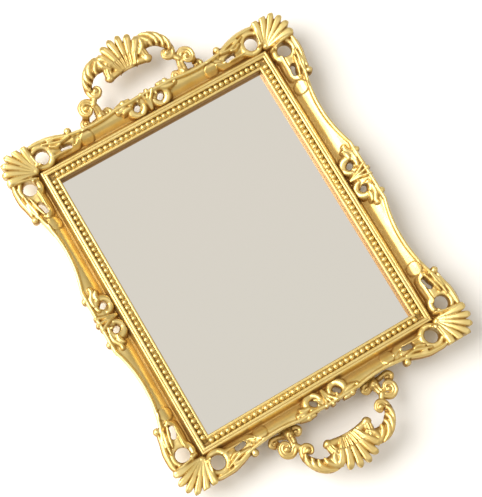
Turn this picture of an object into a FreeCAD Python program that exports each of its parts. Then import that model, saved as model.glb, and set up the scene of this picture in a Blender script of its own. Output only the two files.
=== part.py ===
"""Gilt mirror tray: a rectangular looking glass in a carved baroque frame with two scroll handles.

The tray lies flat.  X runs across the glass, Y runs from handle to handle and +Z is up.  The origin
is on the table under the middle of the tray.  All lengths are in millimetres.
"""
import FreeCAD, Part
import math
import os
from types import SimpleNamespace

import Sketcher

Vector = FreeCAD.Vector
Rotation = FreeCAD.Rotation
UP = Vector(0, 0, 1)

# ---------------------------------------------------------------------------------------- sizes
# name, value, meaning
DIMENSIONS = [
    ("glass_width", 203.2, "glass, across"),
    ("glass_length", 254.0, "glass, from handle to handle"),
    ("glass_thickness", 3.0, "silvered glass"),
    ("board_thickness", 2.5, "hardboard behind the glass"),
    ("felt_thickness", 0.8, "felt lining under the board"),
    ("felt_gap", 0.3, "felt to board"),
    ("felt_margin", 3.0, "bare border of board round the felt"),
    ("glass_play", 0.4, "glass and board to the rebate wall"),
    ("back_height", 9.0, "back of the rails above the table"),
    ("lip_cover", 4.1, "width of glass hidden by the rebate lip"),
    ("lip_wall", 7.9, "depth from the lip down to the glass"),
    ("lip_land", 2.5, "flat lip between the sight edge and the bead channel"),
    ("channel_width", 5.0, "bead channel"),
    ("channel_depth", 1.7, "bead channel below the lip"),
    ("band_rise", 2.4, "flat band above the lip"),
    ("band_width", 4.0, "flat band outside the beads"),
    ("band_ease", 0.5, "eased edges of the band"),
    ("line_depth", 0.4, "fine line cut in the band"),
    ("line_width", 0.7, "fine line cut in the band"),
    ("gutter_fall", 5.8, "drop from the band to the gutter"),
    ("gutter_batter", 2.8, "slope of the gutter's inner wall"),
    ("gutter_floor", 1.2, "flat bottom of the gutter"),
    ("cove_rise", 7.7, "rise of the outer slope over its steep part"),
    ("cove_width", 8.5, "steep part of the outer slope"),
    ("cove_radius", 9.0, "hollow of the steep part of the outer slope"),
    ("skirt_reach", 33.5, "furthest that the slope runs from the sight edge"),
    ("skirt_rise", 1.8, "rise of the slope beyond its steep part"),
    ("waist_radius", 115.0, "hollow curve of the outer edge between ornaments"),
    ("waist_reach_side", 26.9, "side rail at its narrowest, from the sight edge"),
    ("waist_reach_end", 27.4, "end rail at its narrowest, from the sight edge"),
    ("waist_place_side", 65.0, "narrowest place of a side rail, from its middle"),
    ("waist_place_end", 50.0, "narrowest place of an end rail, from its middle"),
    ("rim_width", 3.0, "rolled rim along the outer edge"),
    ("rim_top", 32.0, "top of the rolled rim above the table"),
    ("rim_root", 25.0, "height where the outer wall starts to draw in"),
    ("wall_draft", 5.0, "how far the outer wall draws in down to the back"),
    ("draft_past", 1.0, "the outer wall's slope would end this far below the back"),
    ("centre_span", 30.0, "half length of a centre cartouche"),
    ("arm_side", 40.0, "corner cartouche along a side rail, from the sight corner"),
    ("arm_end", 45.0, "corner cartouche along an end rail, from the sight corner"),
    ("corner_reach_side", 40.2, "corner cartouche beyond the sight edge of a side rail"),
    ("corner_reach_end", 37.5, "corner cartouche beyond the sight edge of an end rail"),
    ("centre_reach_side", 36.0, "centre cartouche beyond the sight edge of a side rail"),
    ("centre_reach_end", 33.0, "centre cartouche beyond the sight edge of an end rail"),
    ("plate_bottom", 11.0, "underside of the cartouches"),
    ("plate_top", 26.5, "ground of the cartouches"),
    ("fan_root", 11.0, "root of the corner fan, outside the sight corner both ways"),
    ("fan_length", 28.0, "length of the corner fan's flutes"),
    ("fan_rise", 5.0, "rise of a flute from root to tip"),
    ("fan_lift", 1.6, "root of the corner fan above the ground of the cartouche"),
    ("flute_root_radius", 1.0, "flute at its root"),
    ("flute_tip_radius", 3.3, "flute at its tip"),
    ("eye_radius", 6.3, "round holes in the corner cartouches"),
    ("eye_rim", 1.9, "half thickness of the scroll round such a hole"),
    ("eye_ledge", 0.3, "ledge between a hole and the scroll round it"),
    ("eye_lift", 1.5, "middle of such a scroll above the ground of the cartouche"),
    ("slot_length", 9.0, "long holes in the corner cartouches"),
    ("slot_width", 4.6, "long holes in the corner cartouches"),
    ("small_eye_radius", 2.9, "round holes in the centre cartouches"),
    ("small_eye_rim", 1.7, "half thickness of the scroll round such a hole"),
    ("small_eye_place", 11.3, "round holes of a centre cartouche, from its middle"),
    ("small_eye_lift", 1.0, "middle of the scroll round such a hole above the ground of the cartouche"),
    ("bud_radius", 3.2, "buds at the ends of the leaves"),
    ("bud_inset", 1.2, "buds of a corner cartouche inside its furthest reach"),
    ("leaf_inset", 5.5, "leaves of a corner cartouche inside its furthest reach"),
    ("leaf_width", 4.6, "half width of a corner cartouche's leaves"),
    ("leaf_length", 14.0, "half length of a corner cartouche's leaves"),
    ("leaf_height", 6.0, "a corner cartouche's leaves above its ground"),
    ("scroll_end_radius", 4.2, "rolled ends of a corner cartouche's scrolls"),
    ("scroll_end_rim", 1.6, "half thickness of those rolled ends"),
    ("small_leaf_width", 3.4, "half width of a centre cartouche's leaves"),
    ("small_leaf_length", 7.5, "half length of a centre cartouche's leaves"),
    ("small_leaf_height", 4.5, "a centre cartouche's leaves above its ground"),
    ("spray_rise", 4.0, "rise of a centre cartouche's flutes from root to tip"),
    ("spray_root_radius", 1.2, "flute of a centre cartouche at its root"),
    ("spray_tip_radius", 2.2, "flute of a centre cartouche at its tip"),
    ("bead_radius", 2.2, "pearls"),
    ("bead_lift", 0.4, "middle of the pearls above their carrier"),
    ("bead_pitch", 5.12, "pearls, about: they are spread evenly from corner to corner"),
    ("strip_play", 0.1, "bead strip to the channel walls"),
    ("strip_thickness", 1.2, "carrier of the pearls"),
    ("handle_reach", 85.6, "tip of a handle's shell, from the sight edge of an end rail"),
    ("shell_place", 53.1, "root of a handle's shell, from the sight edge of an end rail"),
    ("shell_half_width", 17.0, "half width of the grip under the shell"),
    ("shell_rise", 4.0, "rise of a shell's flutes from root to tip"),
    ("shell_root_radius", 1.2, "flute of a handle's shell at its root"),
    ("shell_tip_radius", 3.15, "flute of a handle's shell at its tip"),
    ("grip_place", 5.0, "middle of the grip beyond the root of the shell"),
    ("grip_radius", 3.4, "half thickness of the grip"),
    ("curl_radius", 3.6, "rolled ends of the grip"),
    ("web_length", 16.0, "web between the grip and the flutes"),
    ("web_thickness", 6.0, "web between the grip and the flutes"),
    ("handle_height", 25.5, "middle of the handle's scrolls above the table"),
    ("arm_radius", 18.5, "curve of a handle's arm"),
    ("arm_thickness", 4.1, "half thickness of a handle's arm"),
    ("arm_place", 20.5, "centre of an arm's curve, from the middle of the handle"),
    ("stem_place", 39.0, "stems of a handle, from its middle"),
    ("stem_thickness", 3.4, "half thickness of a handle's stem"),
    ("stem_swell", 1.2, "how much thicker a stem is at its foot"),
    ("stem_gap", 0.6, "stem to the outer edge of the end rail"),
    ("foot_inset", 4.0, "foot nearer to the rail than the stem"),
    ("tab_thickness", 5.0, "tabs that screw up under the end rail"),
    ("tab_width", 15.0, "tabs that screw up under the end rail"),
    ("tab_end", 6.0, "tab beyond its screw"),
    ("foot_radius", 6.0, "foot under each tab"),
    ("pad_radius", 5.0, "felt pad under each foot"),
    ("pad_thickness", 2.0, "felt pad under each foot"),
    ("screw_radius", 2.0, "shank of the screws"),
    ("screw_length", 12.0, "shank of the screws"),
    ("screw_bite", 0.05, "screw to its hole"),
    ("head_radius", 3.6, "head of the screws"),
    ("head_height", 1.9, "head of the screws"),
    ("head_overlap", 0.2, "shank inside the head of a screw"),
    ("head_play", 0.3, "screw head to its counterbore and to a turn button"),
    ("handle_screw_reach", 14.0, "handle screws, outside the sight edge"),
    ("button_thickness", 1.6, "turn buttons"),
    ("button_width", 9.0, "turn buttons"),
    ("button_reach", 16.0, "turn button from its screw to its tip"),
    ("button_gap", 0.3, "turn button to the back of the tray"),
    ("button_pivot_reach", 9.5, "turn button screws, outside the sight edge"),
    ("button_spacing", 62.0, "turn button screws, from the middle of a side rail"),
    ("spline_length", 10.0, "steel splines across the mitres"),
    ("spline_thickness", 1.2, "steel splines across the mitres"),
    ("spline_height", 6.0, "steel splines across the mitres"),
    ("spline_play", 0.03, "spline to its slot"),
]

FLUTES = 7
SHELL_FLUTES = 9
SIDES = (-1, 1)
FLUTE_START = 4.0    # flutes start this far from the point that they radiate from
TIP_SWELL = 1.04    # the round tip of a flute against the end of its cone
PAST = 5.0    # cutters run this far past what they cut
THROUGH = 60.0    # depth of the cuts that go right through
NEARLY_HALF = 0.001    # a half round is drawn this much flatter than half a circle
RIM_TURN = 60    # degrees of the hollow curve that a rim is turned through
PEARL_CUT = -35    # degrees below its middle where a pearl meets its carrier

# places on the corner cartouche of the far right corner, from its sight corner
EYES = ((26.2, 3.9), (4.3, 23.2))
SLOTS = (((23.4, -16), 80), ((-18.5, 20.8), 10))    # with the turn of each, in degrees
SCROLL_ENDS = ((21.5, -32.5), (-37.5, 20.5))
BUD_ALONG_SIDE = -22
BUD_ALONG_END = -29
LEAF_ALONG_SIDE = -6
LEAF_ALONG_END = -15
FAN_FIRST = 13    # degrees from the end rail to the first flute
FAN_SPREAD = 64    # degrees from the first flute to the last

# places on a centre cartouche, from its middle
SMALL_BUD = 19
SMALL_LEAF = 21
SMALL_LEAF_LEAN = 12    # degrees off the line of the rail
SPRAY = (-24, 0, 24)    # degrees of its flutes off its middle line

# curves of a handle
SHELL_SPREAD = 88    # degrees from the first flute of the shell to the last
SHELL_ROUND = 0.16    # how much shorter than the middle flute the outermost ones would be at 45 degrees

DOC = FreeCAD.newDocument("mirror_tray")
SHEET = DOC.addObject("Spreadsheet::Sheet", "Sizes")


class Size:
    """A length from the sheet, or one worked out from such lengths, as text and as a number."""

    def __init__(self, text, value):
        self.text = text
        self.value = value

    def __float__(self):
        return float(self.value)

    def __add__(self, other):
        other = size_of(other)
        return Size(f"({self.text} + {other.text})", self.value + other.value)

    def __sub__(self, other):
        other = size_of(other)
        return Size(f"({self.text} - {other.text})", self.value - other.value)

    def __mul__(self, other):
        other = size_of(other)
        return Size(f"({self.text} * {other.text})", self.value * other.value)

    def __truediv__(self, other):
        other = size_of(other)
        return Size(f"({self.text} / {other.text})", self.value / other.value)

    def __neg__(self):
        return Size(f"(0 - {self.text})", -self.value)

    def __radd__(self, other):
        return size_of(other) + self

    def __rsub__(self, other):
        return size_of(other) - self

    def __rmul__(self, other):
        return size_of(other) * self


def size_of(number):
    """A plain number as a Size; a Size is passed on as it is."""
    if isinstance(number, Size):
        return number
    return Size(f"({float(number):.6f})", float(number))


def fill_sheet():
    """Write the driving dimensions into the sheet and return them by name."""
    for row, (name, value, meaning) in enumerate(DIMENSIONS, start=1):
        SHEET.set(f"A{row}", meaning)
        SHEET.set(f"B{row}", str(value))
        SHEET.setAlias(f"B{row}", name)
    DOC.recompute()
    return SimpleNamespace(**{name: Size(f"Sizes.{name}", SHEET.get(name)) for name, _, _ in DIMENSIONS})


S = fill_sheet()

# levels and half sizes that several pieces share
SIGHT_X = S.glass_width / 2 - S.lip_cover
SIGHT_Y = S.glass_length / 2 - S.lip_cover
BOARD_BOTTOM = S.back_height + S.felt_thickness + S.felt_gap
GLASS_BOTTOM = BOARD_BOTTOM + S.board_thickness
GLASS_TOP = GLASS_BOTTOM + S.glass_thickness
LIP_TOP = GLASS_TOP + S.lip_wall
CHANNEL_FLOOR = LIP_TOP - S.channel_depth
CHANNEL_END = S.lip_land + S.channel_width
BEAD_LINE = S.lip_land + S.channel_width / 2
BEAD_HEIGHT = CHANNEL_FLOOR + S.strip_thickness + S.bead_lift
BAND_TOP = LIP_TOP + S.band_rise
BAND_END = CHANNEL_END + S.band_width + S.band_ease
GUTTER = BAND_TOP - S.gutter_fall
MOULDING_REACH = BAND_END + S.gutter_batter + S.gutter_floor
REBATE = S.lip_cover + S.glass_play
PILOT_RADIUS = S.screw_radius + S.screw_bite
STEM_Y = SIGHT_Y + S.waist_reach_end + S.stem_thickness + S.stem_gap
FOOT_Y = STEM_Y - S.foot_inset
TAB_BOTTOM = S.back_height - S.tab_thickness


# ------------------------------------------------------------------------------------- helpers
def bind(thing, prop, size):
    """Tie a property to the sheet."""
    thing.setExpression(prop, size_of(size).text)


def place(thing, at, turn=None):
    """Put an object at a point whose coordinates are tied to the sheet."""
    spot = Vector(*[float(size_of(value)) for value in at])
    thing.Placement = FreeCAD.Placement(spot, turn or Rotation())
    for axis, value in zip("xyz", at):
        bind(thing, f"Placement.Base.{axis}", value)
    return thing


def new_body(label):
    """An empty PartDesign body."""
    body = DOC.addObject("PartDesign::Body", label)
    body.Label = label
    return body


def new_sketch(body, role, name, offset=(0, 0, 0)):
    """A sketch on one of the body's own origin planes, moved by an offset in the plane's frame."""
    sketch = body.newObject("Sketcher::SketchObject", name)
    plane = next(feature for feature in body.Origin.OriginFeatures if feature.Role == role)
    sketch.AttachmentSupport = [(plane, "")]
    sketch.MapMode = "FlatFace"
    for axis, value in zip("xyz", offset):
        bind(sketch, f"AttachmentOffset.Base.{axis}", value)
    return sketch


def arc_between(start, end, radius):
    """The shorter arc from start to end; a positive radius turns left, a negative one right."""
    chord = end - start
    middle = (start + end) * 0.5
    height = math.sqrt(radius * radius - chord.Length ** 2 / 4)
    side = Vector(-chord.y, chord.x, 0).normalize() * math.copysign(height, radius)
    centre = middle + side
    first, last = (start, end) if radius > 0 else (end, start)
    angles = [math.atan2((point - centre).y, (point - centre).x) for point in (first, last)]
    return Part.ArcOfCircle(Part.Circle(centre, UP, abs(radius)), *angles)


def draw(sketch, path):
    """Draw a closed outline whose corners, and arc radii, are tied to the sheet.

    Each entry is (x, y) for a straight run to that corner or (x, y, radius) for an arc to it.
    """
    corners = [Vector(float(size_of(step[0])), float(size_of(step[1])), 0) for step in path]
    ends = []
    for index, step in enumerate(path):
        start, end = corners[index - 1], corners[index]
        turned = len(step) == 3
        edge = arc_between(start, end, float(size_of(step[2]))) if turned else Part.LineSegment(start, end)
        geometry = sketch.addGeometry(edge)
        backwards = turned and float(size_of(step[2])) < 0
        ends.append((geometry, 2 if backwards else 1, 1 if backwards else 2))
    for index, step in enumerate(path):
        geometry, _, last = ends[index]
        following, first, _ = ends[(index + 1) % len(path)]
        sketch.addConstraint(Sketcher.Constraint("Coincident", geometry, last, following, first))
        for kind, value in (("DistanceX", step[0]), ("DistanceY", step[1])):
            number = sketch.addConstraint(Sketcher.Constraint(kind, geometry, last, float(size_of(value))))
            bind(sketch, f"Constraints[{number}]", value)
        if len(step) == 3:
            radius = size_of(step[2])
            bound = radius if radius.value > 0 else -radius
            number = sketch.addConstraint(Sketcher.Constraint("Radius", geometry, float(bound)))
            bind(sketch, f"Constraints[{number}]", bound)
    return sketch


def ring(sketch, x, y, radius):
    """Draw a circle tied to the sheet."""
    centre = Vector(float(size_of(x)), float(size_of(y)), 0)
    geometry = sketch.addGeometry(Part.Circle(centre, UP, float(size_of(radius))))
    for kind, value in (("DistanceX", x), ("DistanceY", y)):
        number = sketch.addConstraint(Sketcher.Constraint(kind, geometry, 3, float(size_of(value))))
        bind(sketch, f"Constraints[{number}]", value)
    number = sketch.addConstraint(Sketcher.Constraint("Radius", geometry, float(size_of(radius))))
    bind(sketch, f"Constraints[{number}]", radius)
    return sketch


def rectangle(low_x, low_y, high_x, high_y):
    """The outline of a rectangle, for draw."""
    return [(low_x, low_y), (high_x, low_y), (high_x, high_y), (low_x, high_y)]


def pad(body, sketch, length, both_ways=False):
    """Pad a sketch away from its plane, or evenly both ways."""
    feature = body.newObject("PartDesign::Pad", sketch.Name + "_pad")
    feature.Profile = sketch
    bind(feature, "Length", length)
    if both_ways:
        feature.SideType = "Symmetric"
    return feature


def pocket(body, sketch, depth):
    """Cut a sketch upwards out of the body, from the sketch's plane."""
    feature = body.newObject("PartDesign::Pocket", sketch.Name + "_pocket")
    feature.Profile = sketch
    bind(feature, "Length", depth)
    feature.Reversed = True
    return feature


def solid(kind, name, at, turn=None, **sizes):
    """A Part primitive with its sizes and its place tied to the sheet."""
    thing = DOC.addObject(f"Part::{kind}", name)
    for prop, value in sizes.items():
        bind(thing, prop, value)
    return place(thing, at, turn)


def joined(name, shapes):
    """One solid made of overlapping pieces."""
    thing = DOC.addObject("Part::MultiFuse", name)
    thing.Shapes = shapes
    return thing


def less(name, base, tool):
    """A piece with another cut out of it."""
    thing = DOC.addObject("Part::Cut", name)
    thing.Base = base
    thing.Tool = tool
    return thing


def mirrored(name, source, normal):
    """The mirror image of a piece across a plane through the origin."""
    thing = DOC.addObject("Part::Mirroring", name)
    thing.Source = source
    thing.Normal = normal
    return thing


def group(name, pieces):
    """Separate solids that share one node."""
    thing = DOC.addObject("Part::Compound", name)
    thing.Links = pieces
    return thing


def flat_piece(name, half_x, half_y, bottom, thickness):
    """A rectangular sheet centred on the tray."""
    body = new_body(name)
    pad(body, draw(new_sketch(body, "XY_Plane", name + "_outline"),
                   rectangle(-half_x, -half_y, half_x, half_y)), thickness)
    return place(body, (0, 0, bottom))


# --------------------------------------------------------------------------------------- rails
def rail_section():
    """Section of a rail: distance outwards from the sight edge, and height."""
    line = CHANNEL_END + S.band_ease + S.band_width / 2
    return [
        (REBATE, S.back_height),
        (REBATE, GLASS_TOP),
        (0, GLASS_TOP),
        (0, LIP_TOP - S.band_ease),
        (S.band_ease, LIP_TOP),
        (S.lip_land, LIP_TOP),
        (S.lip_land, CHANNEL_FLOOR),
        (CHANNEL_END, CHANNEL_FLOOR),
        (CHANNEL_END, BAND_TOP - S.band_ease),
        (CHANNEL_END + S.band_ease, BAND_TOP),
        (line - S.line_width / 2, BAND_TOP),
        (line, BAND_TOP - S.line_depth),
        (line + S.line_width / 2, BAND_TOP),
        (BAND_END - S.band_ease, BAND_TOP),
        (BAND_END, BAND_TOP - S.band_ease),
        (BAND_END + S.gutter_batter, GUTTER),
        (MOULDING_REACH, GUTTER),
        (MOULDING_REACH + S.cove_width, GUTTER + S.cove_rise, -S.cove_radius),
        (S.skirt_reach, GUTTER + S.cove_rise + S.skirt_rise),
        (S.skirt_reach, S.back_height),
    ]


def waist(body, side, waist_place, waist_reach):
    """Hollow the outer edge and roll its rim on one half of a rail."""
    label = "left" if side < 0 else "right"
    offset = (waist_reach + S.waist_radius, 0, side * waist_place)
    edge = -S.waist_radius
    hollow = draw(new_sketch(body, "YZ_Plane", f"hollow_{label}", offset), [
        (-PAST, 0),
        (-PAST, S.rim_top + PAST),
        (edge, S.rim_top + PAST),
        (edge, S.rim_root),
        (edge - S.wall_draft, S.back_height - S.draft_past),
        (edge - S.wall_draft, 0),
    ])
    cut = body.newObject("PartDesign::Groove", hollow.Name + "_groove")
    cut.Profile = hollow
    cut.ReferenceAxis = (hollow, ["V_Axis"])
    cut.Angle = 360
    rim = draw(new_sketch(body, "YZ_Plane", f"rim_{label}", offset), [
        (edge, S.rim_root),
        (edge, S.rim_top - S.rim_width / 2),
        (edge - S.rim_width, S.rim_top - S.rim_width / 2, S.rim_width / 2 + NEARLY_HALF),
        (edge - S.rim_width, S.rim_root),
    ])
    roll = body.newObject("PartDesign::Revolution", rim.Name + "_roll")
    roll.Profile = rim
    roll.ReferenceAxis = (rim, ["V_Axis"])
    roll.Midplane = True
    roll.Angle = RIM_TURN


def make_rail(name, half_sight, arm, waist_place, waist_reach, holes, place_at, turn):
    """One mitred rail, built along its own X with its sight edge on Y = 0 and outwards along +Y.

    holes lists (distance from the middle, distance outwards) of the screws that bite into its back.
    """
    body = new_body(name)
    length = 2 * (half_sight + S.skirt_reach)
    pad(body, draw(new_sketch(body, "YZ_Plane", "section"), rail_section()), length, both_ways=True)
    for side in SIDES:
        waist(body, side, waist_place, waist_reach)

    trims = new_sketch(body, "XY_Plane", "trims")
    far = 2 * S.skirt_reach
    draw(trims, rectangle(-S.centre_span, MOULDING_REACH, S.centre_span, far))
    for side in SIDES:
        near_end = side * (half_sight - arm)
        past_end = side * (half_sight + far)
        draw(trims, rectangle(near_end, MOULDING_REACH, past_end, far))
    pocket(body, trims, THROUGH)

    mitres = new_sketch(body, "XY_Plane", "mitres")
    for side in SIDES:
        draw(mitres, [
            (side * (half_sight - PAST), -PAST),
            (side * (half_sight + S.skirt_reach + PAST), S.skirt_reach + PAST),
            (side * (half_sight + S.skirt_reach + PAST), -PAST),
        ])
    pocket(body, mitres, THROUGH)

    slots = new_sketch(body, "XY_Plane", "spline_slots")
    middle = (REBATE + MOULDING_REACH) / 2
    long_way = (S.spline_length / 2 + S.spline_play) * math.sqrt(0.5)
    short_way = (S.spline_thickness / 2 + S.spline_play) * math.sqrt(0.5)
    for side in SIDES:
        draw(slots, [
            (side * (half_sight + middle + along * long_way + across * short_way),
             middle - along * long_way + across * short_way)
            for along, across in ((-1, -1), (1, -1), (1, 1), (-1, 1))
        ])
    pocket(body, slots, S.back_height + S.spline_height + S.spline_play)

    pilots = new_sketch(body, "XY_Plane", "pilot_holes")
    for along, outwards in holes:
        ring(pilots, along, outwards, PILOT_RADIUS)
    pocket(body, pilots, S.back_height + S.screw_length - S.button_thickness)
    return place(body, place_at, turn)


def make_rails():
    """The four mitred rails."""
    handle_holes = [(side * S.stem_place, S.handle_screw_reach) for side in SIDES]
    button_holes = [(side * S.button_spacing, S.button_pivot_reach) for side in SIDES]
    ends = (SIGHT_X, S.arm_end, S.waist_place_end, S.waist_reach_end, handle_holes)
    sides = (SIGHT_Y, S.arm_side, S.waist_place_side, S.waist_reach_side, button_holes)
    return [
        make_rail("rail_top", *ends, (0, SIGHT_Y, 0), Rotation(UP, 0)),
        make_rail("rail_bottom", *ends, (0, -SIGHT_Y, 0), Rotation(UP, 180)),
        make_rail("rail_left", *sides, (-SIGHT_X, 0, 0), Rotation(UP, 90)),
        make_rail("rail_right", *sides, (SIGHT_X, 0, 0), Rotation(UP, -90)),
    ]


def make_splines():
    """Steel splines driven across the four mitres from the back."""
    middle = (REBATE + MOULDING_REACH) / 2
    splines = []
    for side_x in SIDES:
        for side_y in SIDES:
            turn = Rotation(UP, -45 * side_x * side_y)
            half = turn.multVec(Vector(float(S.spline_length) / 2, float(S.spline_thickness) / 2, 0))
            splines.append(solid(
                "Box", "spline",
                (side_x * (SIGHT_X + middle) - half.x, side_y * (SIGHT_Y + middle) - half.y, S.back_height),
                turn, Length=S.spline_length, Width=S.spline_thickness, Height=S.spline_height))
    return group("mitre_splines", splines)


# --------------------------------------------------------------------------------- bead strips
def make_bead_strip(name, count, pitch, strip_half, place_at, turn):
    """A row of pearls, evenly about its middle, on a thin carrier along its own X."""
    body = new_body(name)
    half_width = S.channel_width / 2 - S.strip_play
    carrier = new_sketch(body, "XY_Plane", "carrier")
    pad(body, draw(carrier, rectangle(-strip_half, -half_width, strip_half, half_width)), S.strip_thickness)
    pearl = body.newObject("PartDesign::AdditiveSphere", "pearl")
    bind(pearl, "Radius", S.bead_radius)
    pearl.Angle1 = PEARL_CUT
    bind(pearl, "AttachmentOffset.Base.x", (1 - count) / 2 * pitch)
    bind(pearl, "AttachmentOffset.Base.z", BEAD_HEIGHT - CHANNEL_FLOOR)
    plane = next(feature for feature in body.Origin.OriginFeatures if feature.Role == "XY_Plane")
    pearl.AttachmentSupport = [(plane, "")]
    pearl.MapMode = "FlatFace"
    row = body.newObject("PartDesign::LinearPattern", "row")
    row.Originals = [pearl]
    row.Direction = (carrier, ["H_Axis"])
    row.Occurrences = count
    bind(row, "Length", (count - 1) * pitch)
    body.Tip = row
    return place(body, place_at, turn)


def make_bead_strips():
    """Two long strips that hold the corner pearls and two short ones between them."""
    side_gaps = round(float(2 * (SIGHT_Y + BEAD_LINE) / S.bead_pitch))
    end_gaps = round(float(2 * (SIGHT_X + BEAD_LINE) / S.bead_pitch))
    side_pitch = 2 * (SIGHT_Y + BEAD_LINE) / side_gaps
    end_pitch = 2 * (SIGHT_X + BEAD_LINE) / end_gaps
    long_half = SIGHT_Y + CHANNEL_END - S.strip_play
    short_half = SIGHT_X + S.lip_land - S.strip_play
    strips = []
    for name, side in (("bead_strip_left", -1), ("bead_strip_right", 1)):
        strips.append(make_bead_strip(
            name, side_gaps + 1, side_pitch, long_half,
            (side * (SIGHT_X + BEAD_LINE), 0, CHANNEL_FLOOR), Rotation(UP, 90)))
    for name, side in (("bead_strip_bottom", -1), ("bead_strip_top", 1)):
        strips.append(make_bead_strip(
            name, end_gaps - 1, end_pitch, short_half,
            (0, side * (SIGHT_Y + BEAD_LINE), CHANNEL_FLOOR), Rotation(UP, 0)))
    return strips


# ---------------------------------------------------------------------------------- cartouches
def seam_towards(seam, poles):
    """The turn of a sphere whose seam faces one way and whose poles lie across it."""
    seam = Vector(seam).normalize()
    poles = Vector(poles).normalize()
    return Rotation(seam, poles.cross(seam), poles, "XZY")


def flute(name, root, heading, length, rise, root_radius, tip_radius):
    """A flute of a shell: a lying cone with a round tip, from a root point along a heading."""
    across, along = math.cos(heading), math.sin(heading)
    way = Vector(across, along, float(rise / length))
    turn = Rotation(UP, way)
    start = (root[0] + FLUTE_START * across, root[1] + FLUTE_START * along, root[2])
    run = length - FLUTE_START
    tip = (start[0] + run * across, start[1] + run * along, start[2] + run * way.z)
    cone = solid("Cone", name, start, turn,
                 Radius1=root_radius, Radius2=tip_radius, Height=run * way.Length)
    buried = seam_towards(-way, Vector(-along, across, 0))
    return [cone, solid("Sphere", name + "_tip", tip, buried, Radius=TIP_SWELL * tip_radius)]


def make_corner():
    """The pierced corner cartouche of the far right corner, and its three mirror images."""
    inner = MOULDING_REACH
    bud_side = (S.corner_reach_side - S.bud_radius - S.bud_inset, BUD_ALONG_SIDE)
    bud_end = (BUD_ALONG_END, S.corner_reach_end - S.bud_radius - S.bud_inset)
    body = new_body("corner_plate")
    pad(body, draw(new_sketch(body, "XY_Plane", "plate"), [
        (inner, -S.arm_side),
        (S.waist_reach_side + 2.3, -S.arm_side),
        (bud_side[0] + S.bud_radius, bud_side[1], -24),
        (S.corner_reach_side, 10, 42),
        (S.fan_root + S.fan_length, S.fan_root + 6),
        (S.fan_root + 5, S.fan_root + S.fan_length - 2, S.fan_length),
        (-9, S.corner_reach_end, 60),
        (bud_end[0], bud_end[1] + S.bud_radius, 42),
        (-S.arm_end, S.waist_reach_end + 0.1, -60),
        (-S.arm_end, inner),
        (inner, inner),
    ]), S.plate_top - S.plate_bottom)
    place(body, (SIGHT_X, SIGHT_Y, S.plate_bottom))

    def at(x, y, z):
        return (SIGHT_X + x, SIGHT_Y + y, z)

    ground = S.plate_top
    parts = [body]
    for index in range(FLUTES):
        heading = math.radians(FAN_FIRST + FAN_SPREAD * index / (FLUTES - 1))
        parts += flute(f"flute_{index}", at(S.fan_root, S.fan_root, ground + S.fan_lift), heading,
                       S.fan_length - S.flute_tip_radius, S.fan_rise,
                       S.flute_root_radius, S.flute_tip_radius)
    for x, y in EYES:
        parts.append(solid("Torus", "eye_scroll", at(x, y, ground + S.eye_lift),
                           Radius1=S.eye_radius + S.eye_ledge + S.eye_rim, Radius2=S.eye_rim))
    for x, y in (bud_side, bud_end):
        parts.append(solid("Sphere", "bud", at(x, y, ground + S.eye_lift), Radius=S.bud_radius))
    leaves = [((S.corner_reach_side - S.leaf_inset, LEAF_ALONG_SIDE, ground), 4),
              ((LEAF_ALONG_END, S.corner_reach_end - S.leaf_inset, ground), 90)]
    for spot, degrees in leaves:
        parts.append(solid("Ellipsoid", "leaf", at(*spot), Rotation(UP, degrees),
                           Radius1=S.leaf_height, Radius2=S.leaf_width, Radius3=S.leaf_length))
    for x, y in SCROLL_ENDS:
        parts.append(solid("Torus", "scroll_end", at(x, y, ground + 0.5),
                           Radius1=S.scroll_end_radius, Radius2=S.scroll_end_rim))

    bottom = S.plate_bottom - PAST
    cutters = [solid("Cylinder", "eye_hole", at(x, y, bottom), Radius=S.eye_radius, Height=THROUGH)
               for x, y in EYES]
    slot_half = S.slot_length / 2 - S.slot_width / 2
    for (x, y), degrees in SLOTS:
        turn = Rotation(UP, degrees)
        way = turn.multVec(Vector(float(slot_half), 0, 0))
        corner = turn.multVec(Vector(-float(slot_half), -float(S.slot_width) / 2, 0))
        cutters.append(solid("Box", "slot", at(x + corner.x, y + corner.y, bottom), turn,
                             Length=2 * slot_half, Width=S.slot_width, Height=THROUGH))
        for side in SIDES:
            cutters.append(solid("Cylinder", "slot_end", at(x + side * way.x, y + side * way.y, bottom),
                                 Radius=S.slot_width / 2, Height=THROUGH))

    relief = joined("corner_relief", parts)
    top_right = less("corner_shell_top_right", relief, joined("corner_holes", cutters))
    top_left = mirrored("corner_shell_top_left", top_right, Vector(1, 0, 0))
    bottom_right = mirrored("corner_shell_bottom_right", top_right, Vector(0, 1, 0))
    bottom_left = mirrored("corner_shell_bottom_left", top_left, Vector(0, 1, 0))
    return [top_right, top_left, bottom_right, bottom_left]


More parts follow.
